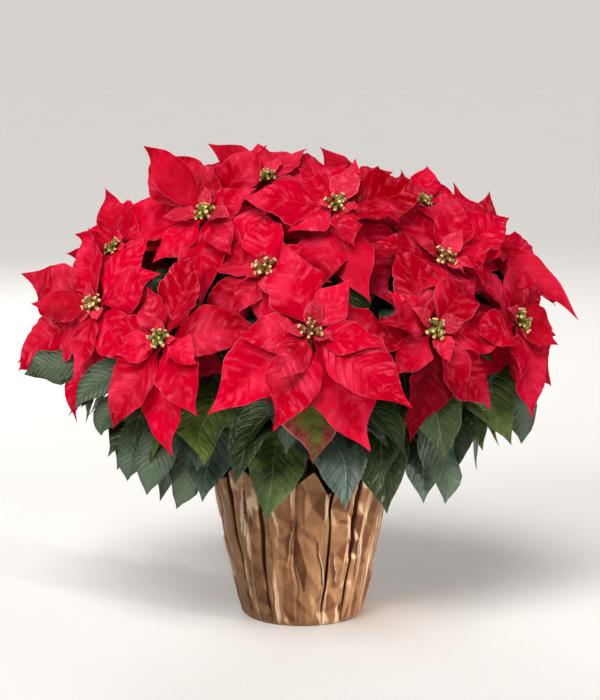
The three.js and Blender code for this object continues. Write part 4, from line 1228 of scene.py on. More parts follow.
for bloom in blooms:
    right, upward, axis = bloom["stand"].to_3x3().transposed()
    for i in range(INNER_LEAVES):
        clock = (i + between(*STRAY, next(fine_draw))) / INNER_LEAVES * 2 * math.pi
        radial = right * math.sin(clock) + upward * math.cos(clock)
        root = on_curve(bloom["branch"], between(*INNER_ROOTS, next(fine_draw)))
        knee = root + (radial * 0.9 + axis * 0.1).normalized() * INNER_STALK
        heading = (radial - axis * between(*INNER_BACK, next(fine_draw))).normalized()
        tip = knee + heading * between(*INNER_SIZES, next(fine_draw))
        leaf = {"root": root, "knee": knee, "tip": tip, "side": axis.cross(radial), "half": INNER_HALF}
        rows.append(leaf_row({**leaf, **temperament(fine_draw)}, INNER_LEAVES_PUSH))
    for i in range(COLLAR_LEAVES):
        clock = (i + between(0, 0.5, next(fine_draw))) / COLLAR_LEAVES * 2 * math.pi
        radial = right * math.sin(clock) + upward * math.cos(clock)
        root = bloom["branch"][2] - axis * between(*COLLAR_DROPS, next(fine_draw))
        knee = root + radial * COLLAR_STALK[0] - axis * COLLAR_STALK[1]
        tip = knee + (radial - axis * COLLAR_BACK).normalized() * COLLAR_SIZE
        leaf = {"root": root, "knee": knee, "tip": tip, "side": axis.cross(radial), "half": COLLAR_HALF}
        rows.append(leaf_row({**leaf, **temperament(fine_draw)}, INNER_LEAVES_PUSH))
    hanging_bract = bloom["number"] in (GREEN_BRACT[0], DUSKY_BRACT[0])  # leaves would stand in front of it
    around = [row for row in OUTER_LEAVES if not hanging_bract or abs(row[0]) > CLEAR_OF_BRACT]
    for splay, hang in around if axis.z < LOW_BLOOM else []:
        turn = bloom["turn"] + splay + between(*OUTER_STRAY, next(fine_draw))
        root = on_curve(bloom["branch"], between(*OUTER_ROOTS, next(fine_draw)))
        knee = root + facing(turn, OUTER_RISE) * OUTER_STALK
        hanging = facing(turn, -hang - between(*OUTER_HANG, next(fine_draw)))
        tip = knee + hanging * between(*OUTER_SIZES, next(fine_draw))
        side = Vector((0, 0, 1)).cross(hanging).normalized()
        leaf = {"root": root, "knee": knee, "tip": tip, "side": side, "half": OUTER_HALF}
        rows.append(leaf_row({**leaf, **temperament(fine_draw)}, INNER_LEAVES_PUSH))
for number, knee, tip, half, tint in GAP_LEAVES:
    root = on_curve(blooms[number - 1]["branch"], GAP_ROOT)
    leaf = facing_forwards(root, Vector(knee), Vector(tip), half)
    rows.append({**leaf_row(leaf, GAP_LEAVES_PUSH), "tint": tint})
seeds = seed_mesh("inner_leaves", rows)
piece = grown("inner_leaves", seeds, leaf_tree, Rows=17, Columns=12, Seed=60.0, Material=leaf_green)
belongs(piece, "green_leaf")
print("inner leaves:", len(rows), "triangles:", TRIANGLES["inner_leaves"])
print("leaves pushed in all:", sum(push > 0 for push in pushed))

# %% [markdown]
# ## Turned pieces
# The pot, the soil and the little receptacles under the flowers are round, so each is drawn as a
# half profile and turned about its axis. The profile starts and ends on the axis, which closes the
# solid, and its faces are listed so that they all point outwards.


# %% Turning
def turned(profile, sides):
    """Points and faces of a closed round solid. The profile runs upwards outside, from axis to axis."""
    points = [Vector((0, 0, profile[0][1]))]
    for radius, height in profile[1:-1]:
        for i in range(sides):
            angle = i / sides * 2 * math.pi
            points.append(Vector((radius * math.cos(angle), radius * math.sin(angle), height)))
    points.append(Vector((0, 0, profile[-1][1])))
    top, faces = len(points) - 1, []
    for i in range(sides):
        j = (i + 1) % sides
        faces.append((0, 1 + j, 1 + i))
        for ring in range(len(profile) - 3):
            a, b = 1 + ring * sides, 1 + (ring + 1) * sides
            faces.append((a + i, a + j, b + j, b + i))
        last = 1 + (len(profile) - 3) * sides
        faces.append((last + i, last + j, top))
    return points, faces


RECEPTACLE = [(0, -12), (3.2, -12), (3.8, -9), (4.3, -5), (4.9, -1.4), (4.6, -0.2), (3, 0.4), (0, 0.6)]
points, faces = [], []
for bloom in blooms:
    ring_points, ring_faces = turned(RECEPTACLE, 16)
    faces += [tuple(len(points) + i for i in face) for face in ring_faces]
    points += [(bloom["stand"] @ point) * MM for point in ring_points]
flesh, tree, shader = surface("receptacle_flesh", Roughness=0.5)
place = spot(tree)
colour = dyed(ink(60, 36, 16), ink(92, 22, 16), mottle(place, 160.0).step(0.35, 0.65))
painted(shader, colour, mottle(place, 700.0), 0.3 * MM)
belongs(mesh_piece("bloom_receptacles", points, faces, flesh), "red_bract")
print("receptacles:", len(blooms))

# %% [markdown]
# ## Flower clusters
# The real flowers are small green urns with a golden lip and a few red stamens. They repeat hundreds
# of times, so one simple urn is made inside a tree from a sphere, and the tree sets a copy on every
# seed point, leaning outwards. A few dozen faces are enough for a shape as small as a peppercorn.


# %% Flower tree
def flower_tree():
    """Small urns, each with a lip and three stamens, that lean along the `axis` of their seed points."""
    tree, given = geometry_group("flower_urns", Urn=2.3 * MM, Lip=1.5 * MM, Material=None)

    def ball(segments, rings):
        made = add_node(
            tree, "GeometryNodeMeshUVSphere", {"Segments": segments, "Rings": rings, "Radius": 1.0},
        )
        return Term(tree, made.outputs[0])

    def marked(geometry, part, position):
        geometry = chain(geometry, "GeometryNodeSetPosition", {"Position": position})
        return store(geometry, "part", part)

    x, y, z = here(tree).parts()
    size_of_urn, size_of_lip = given["Urn"], given["Lip"]
    waist = 1 - z.step(-0.2, 1.0) * 0.35
    dimple = z.step(0.75, 1.0) * 0.9
    urn = marked(ball(10, 7), 0.0, vector_of(x * waist, y * waist, z * 1.35 + 1.2 - dimple) * size_of_urn)
    lip_height = z * size_of_lip * 0.55 + size_of_urn * 2.15
    lip_place = vector_of(x * size_of_lip + size_of_urn * 0.75, y * size_of_lip * 1.2, lip_height)
    lip = marked(ball(7, 4), 1.0, lip_place)
    stamens = []
    for dx, dy in ((-0.25, 0.1), (0.05, -0.3), (0.1, 0.3)):
        bead = [(x * 0.16 + dx) * size_of_urn, (y * 0.16 + dy) * size_of_urn, (z * 0.5 + 2.5) * size_of_urn]
        stamens.append(marked(ball(5, 3), 2.0, vector_of(*bead)))
    parts = add_node(tree, "GeometryNodeJoinGeometry")
    for part in (urn, lip, *stamens):
        tree.links.new(part.out, parts.inputs[0])
    axis, lip_way = attribute(tree, "axis", "FLOAT_VECTOR"), attribute(tree, "lip", "FLOAT_VECTOR")
    lean = add_node(
        tree, "FunctionNodeAxesToRotation", {"Primary Axis": axis, "Secondary Axis": lip_way},
        primary_axis="Z", secondary_axis="X",
    )
    size = attribute(tree, "size")
    copies = add_node(
        tree, "GeometryNodeInstanceOnPoints",
        {"Points": given["Geometry"], "Instance": Term(tree, parts.outputs[0]),
         "Rotation": Term(tree, lean.outputs[0]), "Scale": vector_of(size, size, size)},
    )
    flowers = chain(Term(tree, copies.outputs[0]), "GeometryNodeRealizeInstances")
    finished(flowers, given["Material"], 1.5)
    return tree


urn_tree = flower_tree()
print("flower tree:", len(urn_tree.nodes), "nodes")

# %% Flower material
flower_gold, tree, shader = surface("flower_gold", Roughness=0.42, Specular_IOR_Level=0.5, Coat_Weight=0.2)
part, ripe = carried(tree, "part"), carried(tree, "ripe")
place = spot(tree)
green_urn = dyed(ink(112, 116, 34), ink(140, 84, 40), ripe)
lip_gold = dyed(ink(220, 214, 116), ink(248, 216, 146), ripe)
colour = dyed(green_urn, lip_gold, part.step(0.4, 0.6))
colour = dyed(colour, ink(238, 214, 150), part.step(1.4, 1.6))
colour = dyed(colour, ink(64, 36, 14), mottle(place, 420.0).step(0.5, 0.75) * 0.6)
painted(shader, colour, mottle(place, 1500.0), 0.2 * MM)
print("flower material:", len(tree.nodes), "nodes")

# %% Flower clusters
RIPE_BLOOMS, MOSTLY_RIPE, RIPE_STRAY = {1: 1.0, 5: 0.35, 6: 0.9, 7: 0.8, 4: 0.1, 8: 0.9}, 0.15, 0.4
RINGS = [(1, 0.5, 8), (4, 3.0, 24), (7, 5.4, 46)]  # number, foot radius, lean
CLOCK_STRAY, LEAN_STRAY = 0.7, 22  # a share of the step from flower to flower, and degrees
FOOT_STRAY, FLOWER_SIZES = (0.75, 1.1), (0.7, 1.25)
for bloom in blooms:
    rows = []
    ripeness = RIPE_BLOOMS.get(bloom["number"], MOSTLY_RIPE)
    turned_to = bloom["stand"].to_3x3()
    for count, radius, lean in RINGS:
        for i in range(count):
            step = i + CLOCK_STRAY * (next(fine_draw) - 0.5)
            angle = math.radians(bloom["turn"]) + step / count * 2 * math.pi
            tilt = math.radians(lean + LEAN_STRAY * (next(fine_draw) - 0.5))
            outward = Vector((math.cos(angle), math.sin(angle), 0))
            axis = outward * math.sin(tilt) + Vector((0, 0, math.cos(tilt)))
            foot = bloom["stand"] @ (outward * radius * between(*FOOT_STRAY, next(fine_draw)))
            rows.append({
                "co": foot * MM, "axis": turned_to @ axis, "lip": turned_to @ outward,
                "size": between(*FLOWER_SIZES, next(fine_draw)),
                "ripe": min(1, max(0, ripeness + RIPE_STRAY * (next(fine_draw) - 0.5))),
            })
    name = f"bloom_{bloom['number']:02d}_cluster"
    piece = grown(name + "_fine", seed_mesh(name + "_seeds", rows), urn_tree, Material=flower_gold)
    belongs(piece, "flower_cluster", name)
print("triangles so far:", sum(TRIANGLES.values()))

# %% [markdown]
# ## Foil sleeve
# The sleeve is a sheet of foil paper folded round the pot in sixteen uneven pleats, cut to points along
# the top and crumpled by hand. It is laid out as a sheet: a grid of points by angle and height, whose
# distance from the middle is the pleats' fold plus the crumples. Foil breaks in planes and does not roll
# in waves. So the crumples are a second, coarse sheet of triangles: scattered points are lifted a
# little and joined by Delaunay's rule, and the grid reads its height off that. Where two triangles
# meet outwards a glint is painted on the foil, and where they meet inwards a painted shade darkens it.

# %% Pleats of the sleeve
# At each level of the sleeve: height, radius, and how deep the pleats are.
SLEEVE_LEVELS = [(0, 55.5, 0), (4, 58.5, 0.6), (54, 69, 1), (106, 79.5, 0.9), (142, 88, 1.3)]
LEVEL_ROWS = [3, 36, 40, 32]  # rows of the grid between the levels
PLEATS, PLEAT_DEPTH = 16, 3.4
PLEAT_SHAPE = [(0, 0.1), (0.48, 0.2), (0.76, -1)]  # each corner's place in its pleat and how far out it is
CORNERS = PLEATS * len(PLEAT_SHAPE)
COLUMNS_PER_CORNER = 12
SHEET = 0.6  # thickness of the foil paper as modelled
# The cut edge runs in straight lines between these places: degrees from the front, and how far up or down.
CUT_EDGE = [(-43, 16), (-14, -12), (7, 14), (15, -8), (40, 12), (53, -9), (82, 16), (101, -6), (122, 14),
            (141, -10), (160, 12), (176, -5), (198, 16), (220, -11), (239, 13), (256, -6), (279, 15),
            (297, -9)]
# How deep some folds were pressed, and so how dark their painted shade is: below 1 a fold is flatter, above 1
# it is pinched.
PRESSED = {0: 0.3, 3: 0.2, 6: 0.35, 10: 0.75, 11: 0.4, 15: 0.3, 8: 1.3, 9: 1.35, 12: 1.3, 13: 1.35, 14: 1.4}
SHIFT, WANDER, DEPTHS = 0.22, 0.12, (0.75, 1.1)  # how far a pleat strays, in all and by level; its depth

draw = seeded(411)
folds = []
for _ in range(PLEATS):
    shift, depth = (next(draw) - 0.5) * SHIFT, between(*DEPTHS, next(draw))
    wander = [(next(draw) - 0.5) * WANDER for _ in SLEEVE_LEVELS]
    next(draw)  # the solid draws the height of its cut edge here
    folds.append((shift, depth, wander))

corner = np.arange(CORNERS + 1)
angles, rises = np.zeros((2, len(SLEEVE_LEVELS), CORNERS + 1))
for i in corner:
    pleat, place = divmod(i % CORNERS, len(PLEAT_SHAPE))
    shift, depth, wander = folds[pleat]
    share, rise = PLEAT_SHAPE[place]
    lap = 2 * math.pi if i == CORNERS else 0
    for level in range(len(SLEEVE_LEVELS)):
        angles[level, i] = (pleat + shift + wander[level] + share) / PLEATS * 2 * math.pi + lap
        rises[level, i] = rise * depth

# For each column of the grid: the corner to its left, how far it is past it, and the fold's rise there.
column = np.arange(CORNERS * COLUMNS_PER_CORNER) / COLUMNS_PER_CORNER
left = column.astype(int)
part = column - left
kind = left % len(PLEAT_SHAPE)  # 0: the flat front of a pleat, 1: down into the valley, 2: up out of it
fall = np.where(kind == 1, part**4, np.where(kind == 2, 1 - (1 - part) ** 5, part))
FAR = 9.0  # stands for a column that is near no valley
to_valley = np.where(kind == 1, 1 - part, np.where(kind == 2, part, FAR))  # in corners
print("pleats:", PLEATS, "columns:", len(column))

# %% Crumples
MEAN_RADIUS = 72
FOOT, TOP = -15, 175  # the scattered points reach past both ends of the sheet
TRIES = 2600  # draws for each scatter: more than find room
CREASE_WIDTH = 0.75
GOLDEN = 0.618034  # its multiples, without their whole parts, spread evenly from 0 to 1
AROUND = MEAN_RADIUS * 2 * math.pi  # the sheet's length round the pot, in millimetres


def scattered(draw, apart, lift, squeeze, lines=()):
    """Lifted points (along, up, lift) over the sheet, `apart` from each other.

    A small `squeeze` makes tall facets."""
    points = np.array([p for line in lines for p in line] or [(-999, 0, 0)], float)
    for _ in range(TRIES):
        along, up = next(draw) * AROUND, between(FOOT, TOP, next(draw))
        new = np.array((along, up, between(-lift, lift, next(draw))))
        away = np.abs(points[:, :2] - new[:2])
        away[:, 0] = np.minimum(away[:, 0], AROUND - away[:, 0])
        if np.hypot(away[:, 0], away[:, 1] * squeeze).min() > apart:
            points = np.vstack([points, new])
    return points


def long_fold(draw, at, lift):
    """A crooked ridge or furrow from the foot to the top of the sheet."""
    return [
        (at + (next(draw) - 0.5) * 5.5, up + (next(draw) - 0.5) * 9, lift * between(-0.1, 1.2, next(draw)))
        for up in (-10, 18, 40, 62, 86, 110, 138, 172)
    ]


def crumpled(points, lines, along, up):
    """The coarse sheet at every place of the grid: lift, two slopes, how creased, and the facet's number."""
    laps = [(0, 0), (-AROUND, 1), (AROUND, 2)]
    flat = [Vector((p[0] + shift, p[1])) for shift, _ in laps for p in points]
    firsts = np.cumsum([0] + [len(line) for line in lines])
    ridges = [(k * len(points) + f + i, k * len(points) + f + i + 1)
              for _, k in laps for f, line in zip(firsts, lines) for i in range(len(line) - 1)]
    corners, _, facets, origin, _, _ = delaunay_2d_cdt(flat, ridges, [], 0, 0.001)
    solid = np.array([(*c, points[o[0] % len(points)][2] if o else 0.0) for c, o in zip(corners, origin)])
    facets = np.array(facets)
    cover = BVHTree.FromPolygons([Vector(p) for p in solid], facets.tolist())
    down = Vector((0, 0, -1))
    hit = np.array([cover.ray_cast(Vector((a, b, 50)), down)[2] for a, b in zip(along.ravel(), up.ravel())])
    triangle = solid[facets]
    normal = np.cross(triangle[:, 1] - triangle[:, 0], triangle[:, 2] - triangle[:, 0])
    normal /= np.linalg.norm(normal, axis=1)[:, None] * np.sign(normal[:, 2:])
    middle = triangle.mean(axis=1)
    beside = {}
    for f, facet in enumerate(facets.tolist()):
        for k in range(3):
            beside.setdefault(frozenset((facet[k], facet[k - 1])), []).append(f)
    bend = np.zeros((len(facets), 3))  # of each side: above 0 where the foil folds outwards
    for f, facet in enumerate(facets.tolist()):
        for k in range(3):
            pair = beside[frozenset((facet[k], facet[k - 1]))]
            if len(pair) == 2:
                other = pair[0] + pair[1] - f
                turn = normal[other] - normal[f]
                bend[f, k] = np.linalg.norm(turn) * np.sign(turn @ (middle[other] - middle[f]))
    slope = -normal[hit, :2] / normal[hit, 2:]
    place = np.stack([along.ravel(), up.ravel()], -1)
    lift = triangle[hit, 0, 2] + ((place - triangle[hit, 0, :2]) * slope).sum(axis=1)
    creased = np.zeros(len(hit))
    for k in range(3):
        start, way = triangle[hit, k, :2], triangle[hit, k - 1, :2] - triangle[hit, k, :2]
        off = place - start
        distance = np.abs(way[:, 0] * off[:, 1] - way[:, 1] * off[:, 0]) / np.linalg.norm(way, axis=1)
        creased += bend[hit, k] * np.exp(-((distance / CREASE_WIDTH) ** 2))
    number = np.mod(hit * GOLDEN, 1.0)
    return [values.reshape(along.shape) for values in (lift, slope[:, 0], slope[:, 1], creased, number)]


# How far each valley strays sideways, in corners, how deep it is and how narrow its painted shade is, at
# eight heights.
draw = seeded(97)
KINKS = 8
stray = np.array([[(next(draw) - 0.5) * 0.5 for _ in range(KINKS)] for _ in range(PLEATS)])
grip = np.array([[between(0.65, 1.15, next(draw)) for _ in range(KINKS)] for _ in range(PLEATS)])
grip *= np.array([PRESSED.get(pleat, 1) for pleat in range(PLEATS)])[:, None]
narrow = np.array([[between(0.1, 0.26, next(draw)) for _ in range(KINKS)] for _ in range(PLEATS)])


def along_height(table, share):
    """The row of each valley's table at a height from 0 to 1, one number per column."""
    place = share * (KINKS - 1)
    low = min(int(place), KINKS - 2)
    rows = between(table[:, low], table[:, low + 1], place - low)
    return rows[(left // len(PLEAT_SHAPE)) % PLEATS]


rings = []
for level, rows in enumerate(LEVEL_ROWS):
    for row in range(rows + (level == len(LEVEL_ROWS) - 1)):
        rings.append((level, row / rows))
ring_angle, ring_radius, ring_height, valley_shade = [], [], [], []
for level, share in rings:
    (z0, r0, f0), (z1, r1, f1) = SLEEVE_LEVELS[level], SLEEVE_LEVELS[level + 1]
    at_level = [between(angles[k][left], angles[k][left + 1], part) for k in (level, level + 1)]
    rise_at = [between(rises[k][left], rises[k][left + 1], fall) for k in (level, level + 1)]
    up = between(z0, z1, share) / SLEEVE_LEVELS[-1][0]
    bent = np.clip(1 - to_valley, 0, 1) * along_height(stray, up) * min(1, up * 5)
    ring_angle.append(between(*at_level, share) + bent / CORNERS * 2 * math.pi)
    deep = along_height(grip, up)
    lip = np.where(kind == 1, np.exp(-(((part - 0.6) / 0.16) ** 2)), 0) * 0.3 * np.minimum(deep, 1)
    pleated = between(*rise_at, share) * np.where(kind == 0, 1, deep) + lip
    rise = pleated * between(f0, f1, share) * PLEAT_DEPTH
    bearing = np.degrees(ring_angle[-1]) + 90
    top = np.interp(bearing, *zip(*CUT_EDGE), period=360) if level == len(LEVEL_ROWS) - 1 else 0
    ring_height.append(between(z0, z1 + top, share) + np.zeros_like(column))
    ring_radius.append(between(r0, r1, share) + rise)
    # The painted shade along each valley: wider towards the top and on the side that rises out of it, faded
    # at the foot, and darker where the fold is deeper.
    sharp = along_height(narrow, up) * (0.6 + 0.9 * up) * np.where(kind == 2, 1.35, 1)
    valley_shade.append(np.exp(-((to_valley / sharp) ** 2)) * min(1, up * 7) * np.clip(deep * 1.6 - 0.3, 0, 1))
angle, radius, height = np.array(ring_angle), np.array(ring_radius), np.array(ring_height)

LONG_FOLDS = ((0.02, 1.3), (0.25, -1.1), (0.49, 1.4))  # place in a pleat and lift
LONG_FOLD_SHARE = 0.6  # how many of them are there
lines = []
for pleat in range(PLEATS):
    start = (pleat + folds[pleat][0]) / PLEATS * AROUND
    for share, rise in LONG_FOLDS:
        if next(draw) < LONG_FOLD_SHARE:
            lines.append(long_fold(draw, start + share / PLEATS * AROUND, rise))
broad = crumpled(scattered(draw, 8.0, 1.8, 0.45, lines), lines, angle * MEAN_RADIUS, height)
small = crumpled(scattered(draw, 4.2, 0.5, 0.8), [], angle * MEAN_RADIUS, height)
# The small facets show in patches, because some of the foil is still smooth.
patchy = np.clip(np.sin(angle * 5 + height * 0.05) + np.sin(angle * 3 - height * 0.08 + 1) + 0.4, 0.15, 1)
lift, sideways, upwards, creased, number = [b + s * patchy for b, s in zip(broad, small)]
print("sheet:", radius.shape, "lift:", lift.min().round(2), lift.max().round(2))

# %% Pinches
# Where the foil was gripped it stands up in narrow ridges, with a painted highlight and glint on one side and
# a painted shadow on the other.
STARS, STAR_PINCHES, LONG_PINCHES = 8, 4, 40
GRIP_LEVELS, GRIP_SPREAD = (35, 120), (0.24, 22, 150)  # heights; spread in radians, height and degrees
SHORT_HALF, SHORT_RISE = (5, 13), (0.5, 0.9)  # half length and rise of a star's pinches
LONG_LEVELS, LONG_LEAN, LONG_HALF, LONG_RISE = (10, 140), 22, (14, 42), (0.6, 1.4)  # the same for long ones
GENTLE_SIDE, STEEP_SIDE = (2, 4.5), 1.1  # widths of a ridge's two sides
TO_THE_RIGHT = 0.65  # share of the pinches whose gentle side is their right one
pinches = []  # angle, height, lean in degrees, half length and rise
for _ in range(STARS):  # each grip leaves a star of short pinches
    at, level = next(draw) * 2 * math.pi, between(*GRIP_LEVELS, next(draw))
    for _ in range(STAR_PINCHES):
        aside, up, lean = [(next(draw) - 0.5) * spread for spread in GRIP_SPREAD]
        place = (at + aside, level + up, lean)
        pinches.append((*place, between(*SHORT_HALF, next(draw)), between(*SHORT_RISE, next(draw))))
for _ in range(LONG_PINCHES):  # long ones run up the sheet
    place = (next(draw) * 2 * math.pi, between(*LONG_LEVELS, next(draw)), (next(draw) - 0.5) * LONG_LEAN)
    pinches.append((*place, between(*LONG_HALF, next(draw)), between(*LONG_RISE, next(draw))))
glint, shade = np.zeros((2, *angle.shape))
for at, level, lean, half, rise in pinches:
    side = 1 if next(draw) < TO_THE_RIGHT else -1
    across = (np.mod(angle - at + math.pi, 2 * math.pi) - math.pi) * radius
    cos, sin = math.cos(math.radians(lean)), math.sin(math.radians(lean))
    along = (across * sin + (height - level) * cos) / half
    off = side * (across * cos - (height - level) * sin) + (next(draw) - 0.5) * 7 * along**2
    off = off + (np.abs(np.mod(along * 1.5 + next(draw), 1) - 0.5) - 0.25) * 2
    fade = np.clip(1.5 - 1.5 * np.abs(along), 0, 1)
    wide = np.where(off > 0, between(*GENTLE_SIDE, next(draw)), STEEP_SIDE)
    lift = lift + rise * fade * np.clip(1 - np.abs(off) / wide, 0, 1)
    sideways = sideways - np.where((off > 0) & (off < wide), side * cos * rise * fade / wide, 0)
    glint = np.maximum(glint, fade * rise * np.exp(-(((off - 0.3) / 0.7) ** 2)))
    shade = np.maximum(shade, fade * rise * np.exp(-(((off + 1.2) / 0.75) ** 2)))
standing = np.clip((height - 1) / 12, 0, 1)  # the foot stays round
radius = radius + lift * standing
# Painted shade in the pleats' valleys, beside each pinch and along the inward creases, and painted glints on
# the pinches and the outward creases.
crease_shade = np.clip(np.array(valley_shade) + (shade * 0.4 + np.clip(-creased - 0.12, 0, 1)) * standing, 0, 1)
glint = np.clip(glint * 0.7 + np.clip(creased - 0.2, 0, 1), 0, 1) * standing
# Painted light: a facet that leans to the right and upwards is painted lighter, as if it caught the light,
# and so is the side of a pleat that stands free beside its valley. Each facet also gets a random painted
# reflection.
SHEET_TOP = 160
gripped = np.array([along_height(grip, row.mean() / SHEET_TOP) for row in height])
free = np.where(kind == 2, np.clip(part * 2, 0, 1) * np.clip(3 - part * 3, 0, 1), 0)
free_side = free * np.clip(gripped, 0, 1)
painted_light = np.clip(0.37 - sideways - upwards + (number - 0.6) * 0.16 + free_side * 0.2, 0, 1)
painted_light[1:-1] = (painted_light[2:] + painted_light[1:-1] * 2 + painted_light[:-2]) / 4
print("pinches:", len(pinches), "tone:", np.percentile(painted_light, (5, 50, 95)).round(2))

# %% Foil sleeve
# The inside is out of sight, so it has only every sixth row of the grid, and keeps behind the outside.
EVERY = 6
outer = np.stack([radius * np.cos(angle), radius * np.sin(angle), height], -1)
kept_rows = [*range(0, len(rings) - 3, EVERY), len(rings) - 1]
nearest = [radius[max(0, row - EVERY) : row + EVERY + 1].min(axis=0) for row in kept_rows[:-1]]
behind = np.array([*nearest, radius[-1]]) - SHEET
inner_angle, inner_height = angle[kept_rows], np.maximum(height[kept_rows], SHEET)
inner = np.stack([behind * np.cos(inner_angle), behind * np.sin(inner_angle), inner_height], -1)[::-1]
sheet = np.concatenate([outer, inner])
count, width = sheet.shape[:2]
points = [*sheet.reshape(-1, 3) * MM, np.zeros(3), np.array((0, 0, SHEET * MM))]
faces = []
for ring in range(count - 1):
    for i in range(width):
        j = (i + 1) % width
        faces.append((ring * width + i, ring * width + j, (ring + 1) * width + j, (ring + 1) * width + i))
underside, inside = len(points) - 2, len(points) - 1
for i in range(width):
    j = (i + 1) % width
    faces += [(underside, j, i), (inside, (count - 1) * width + i, (count - 1) * width + j)]
both_sides = {
    key: np.concatenate([values.ravel(), values[kept_rows][::-1].ravel(), [0, 0]])
    for key, values in (("crease", crease_shade), ("painted_light", painted_light), ("glint", glint))
}

copper_foil, tree, shader = surface(
    "copper_foil", Metallic=0.42, Roughness=0.3, Specular_IOR_Level=0.2, Specular_Tint=(0.85, 0.72, 0.62, 1),
)
place = spot(tree)
crease = carried(tree, "crease")
# The painted light, with a little noise, turns the copper from dark to light.
painted_light = carried(tree, "painted_light") + (mottle(place, 14.0, 2.0) - 0.5) * 0.3
colour = dyed(ink(84, 50, 30), ink(132, 96, 65), painted_light.step(0.1, 0.5))
colour = dyed(colour, ink(188, 160, 132), painted_light.step(0.5, 0.95))
# Painted shade in the creases and painted glints on the ridges.
colour = dyed(colour, ink(36, 8, 6), crease.step(0.2, 0.6) * 0.97)
colour = dyed(colour, ink(236, 208, 184), carried(tree, "glint").step(0.25, 0.8) * 0.7)
roughness = mottle(place, 60.0, 3.0) * 0.22 + 0.24
height = mottle(place, 120.0, 2.0) * 0.5 + mottle(place, 420.0, 3.0) * 0.1
painted(shader, colour, height, 0.8 * MM, 0.8, roughness)
sleeve = mesh_piece("pot_cover_fine", points, faces, copper_foil, both_sides)
belongs(sleeve, "copper_foil", "pot_cover")
print("sleeve triangles:", TRIANGLES["pot_cover_fine"])

# %% [markdown]
# ## Grower's pot
# A thin brown plastic pot with a deep rim band, all but hidden in its sleeve. It is turned, with
# small steps in the profile for rounded edges, and its drain holes are cut with a Boolean modifier.

# %% Grower's pot
POT_PROFILE = [  # radius and height
    (0, 1.2), (50.6, 1.2), (51.5, 2.0), (69.9, 104.6), (70.4, 105), (73.4, 105), (74, 105.6), (74, 121.2),
    (73.4, 122), (72.2, 122), (71.5, 121.3), (50, 3.6), (0, 3.6),
]
DRAIN_HOLES, DRAIN_RING, DRILL = 5, 36, [(0, 0), (5, 0), (5, 6), (0, 6)]
points, faces = turned(POT_PROFILE, 72)
pot_plastic, tree, shader = surface("pot_plastic", Roughness=0.5, Specular_IOR_Level=0.45)
place = spot(tree)
colour = dyed(ink(104, 74, 54), ink(124, 90, 66), mottle(place, 40.0))
painted(shader, colour, mottle(place, 600.0), 0.15 * MM)
pot = mesh_piece("grower_pot_fine", [p * MM for p in points], faces, pot_plastic)
drills = []
for i in range(DRAIN_HOLES):
    centre = facing(90 + 360 / DRAIN_HOLES * i, 0) * DRAIN_RING
    drill_points, drill_faces = turned(DRILL, 24)
    drills.append(mesh_piece("drill", [(p + centre) * MM for p in drill_points], drill_faces, pot_plastic))
drill = joined("drill", drills)
cut = pot.modifiers.new("drain_holes", "BOOLEAN")
cut.operation, cut.object, cut.solver = "DIFFERENCE", drill, "EXACT"
graph = bpy.context.evaluated_depsgraph_get()
whole = bpy.data.meshes.new_from_object(pot.evaluated_get(graph))
pot.modifiers.clear()
pot.data = whole
bpy.data.objects.remove(drill)
pot.data.set_sharp_from_angle(angle=0.7)
belongs(pot, "pot_plastic", "grower_pot")
print("pot triangles:", TRIANGLES["grower_pot_fine"])

# %% [markdown]
# ## Soil
# Peat is a dark mound of crumbs. A bump map alone looks flat from above, so a tree scatters real
# crumbs over the mound: one small rough ball, copied at random sizes with a fixed seed.


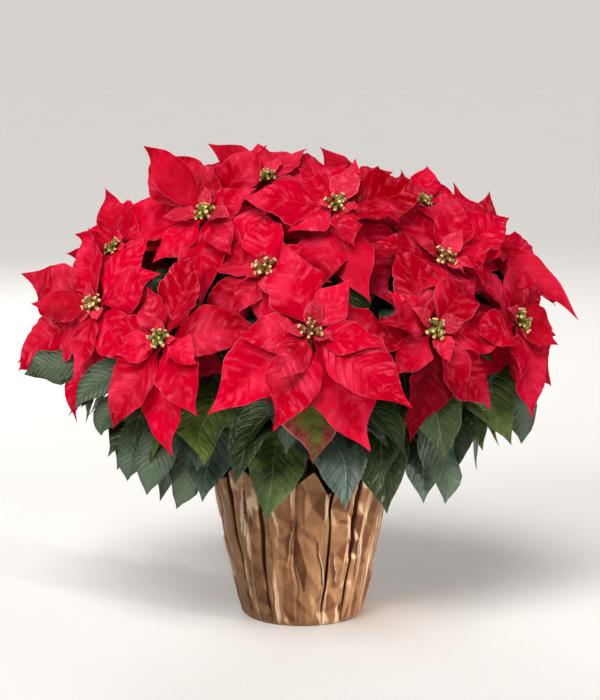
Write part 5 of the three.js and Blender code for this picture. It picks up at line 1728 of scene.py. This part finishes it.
# %% Soil tree
def soil_tree():
    """Crumbs scattered over the top of the mound that comes in."""
    tree, given = geometry_group("peat_crumbs", Crumb=1.3 * MM, Density=90000.0, Seed=5, Material=None)
    x, y, z = here(tree).parts()
    normal = Term(tree, add_node(tree, "GeometryNodeInputNormal").outputs[0])
    upper = normal.parts()[2].math("GREATER_THAN", 0.8)
    on_top = z.math("GREATER_THAN", 111 * MM)
    scatter = add_node(
        tree, "GeometryNodeDistributePointsOnFaces",
        {"Mesh": given["Geometry"], "Selection": upper * on_top, "Density": given["Density"],
         "Seed": given["Seed"]},
    )
    ball = add_node(tree, "GeometryNodeMeshIcoSphere", {"Radius": given["Crumb"], "Subdivisions": 1})
    size = add_node(tree, "FunctionNodeRandomValue", {2: 0.35, 3: 1.3, "Seed": given["Seed"]})
    turn = add_node(
        tree, "FunctionNodeRandomValue", {0: (0.0, 0.0, 0.0), 1: (6.3, 6.3, 6.3), "Seed": given["Seed"]},
        data_type="FLOAT_VECTOR",
    )
    copies = add_node(
        tree, "GeometryNodeInstanceOnPoints",
        {"Points": Term(tree, scatter.outputs[0]), "Instance": Term(tree, ball.outputs[0]),
         "Rotation": Term(tree, turn.outputs[0]), "Scale": Term(tree, size.outputs[1])},
    )
    crumbs = chain(Term(tree, copies.outputs[0]), "GeometryNodeRealizeInstances")
    both = add_node(tree, "GeometryNodeJoinGeometry")
    tree.links.new(crumbs.out, both.inputs[0])
    tree.links.new(given["Geometry"].out, both.inputs[0])
    finished(Term(tree, both.outputs[0]), given["Material"], 0.9)
    return tree


crumb_tree = soil_tree()
print("soil tree:", len(crumb_tree.nodes), "nodes")

# %% Soil
SOIL_PROFILE = [(0, 3.9), (49.7, 3.9), (69.3, 112), (64, 113.2), (54, 114.5), (42, 115.7), (30, 116.5),
                (15, 116.9), (0, 117)]  # radius and height
points, faces = turned(SOIL_PROFILE, 48)
peat, tree, shader = surface("peat_soil", Roughness=0.95, Specular_IOR_Level=0.2)
place = spot(tree)
colour = dyed(ink(38, 26, 18), ink(74, 52, 36), mottle(place, 420.0, 4.0).step(0.4, 0.75))
painted(shader, colour, mottle(place, 700.0, 5.0), 1.2 * MM)
soil_mesh = bpy.data.meshes.new("soil_mound")
soil_mesh.from_pydata([tuple(p * MM) for p in points], [], faces)
soil = grown("soil_fine", soil_mesh, crumb_tree, Material=peat)
belongs(soil, "peat_soil", "soil")
print("soil triangles:", TRIANGLES["soil_fine"])

# %% [markdown]
# ## Floor finish
# The floor only has to be pale and quiet. A trace of mottling keeps it from looking like empty paper.

# %% Floor finish
floor_paint, tree, shader = surface("pale_floor", Roughness=0.9, Specular_IOR_Level=0.0)
place = spot(tree)
painted(shader, dyed(ink(232, 229, 225), ink(238, 236, 233), mottle(place, 3.0)))
floor_mesh.materials.append(floor_paint)
print("floor ready")

# %% [markdown]
# ## Triangle counts
# The number of pieces and of triangles, in all and in the largest piece. The finer pieces must
# stay within the solids' box, give or take a few millimetres, because the solids are what the
# part measures.

# %% Triangle counts
print("pieces:", len(TRIANGLES), "triangles:", sum(TRIANGLES.values()))
print("most triangles in one piece:", max(TRIANGLES.values()))
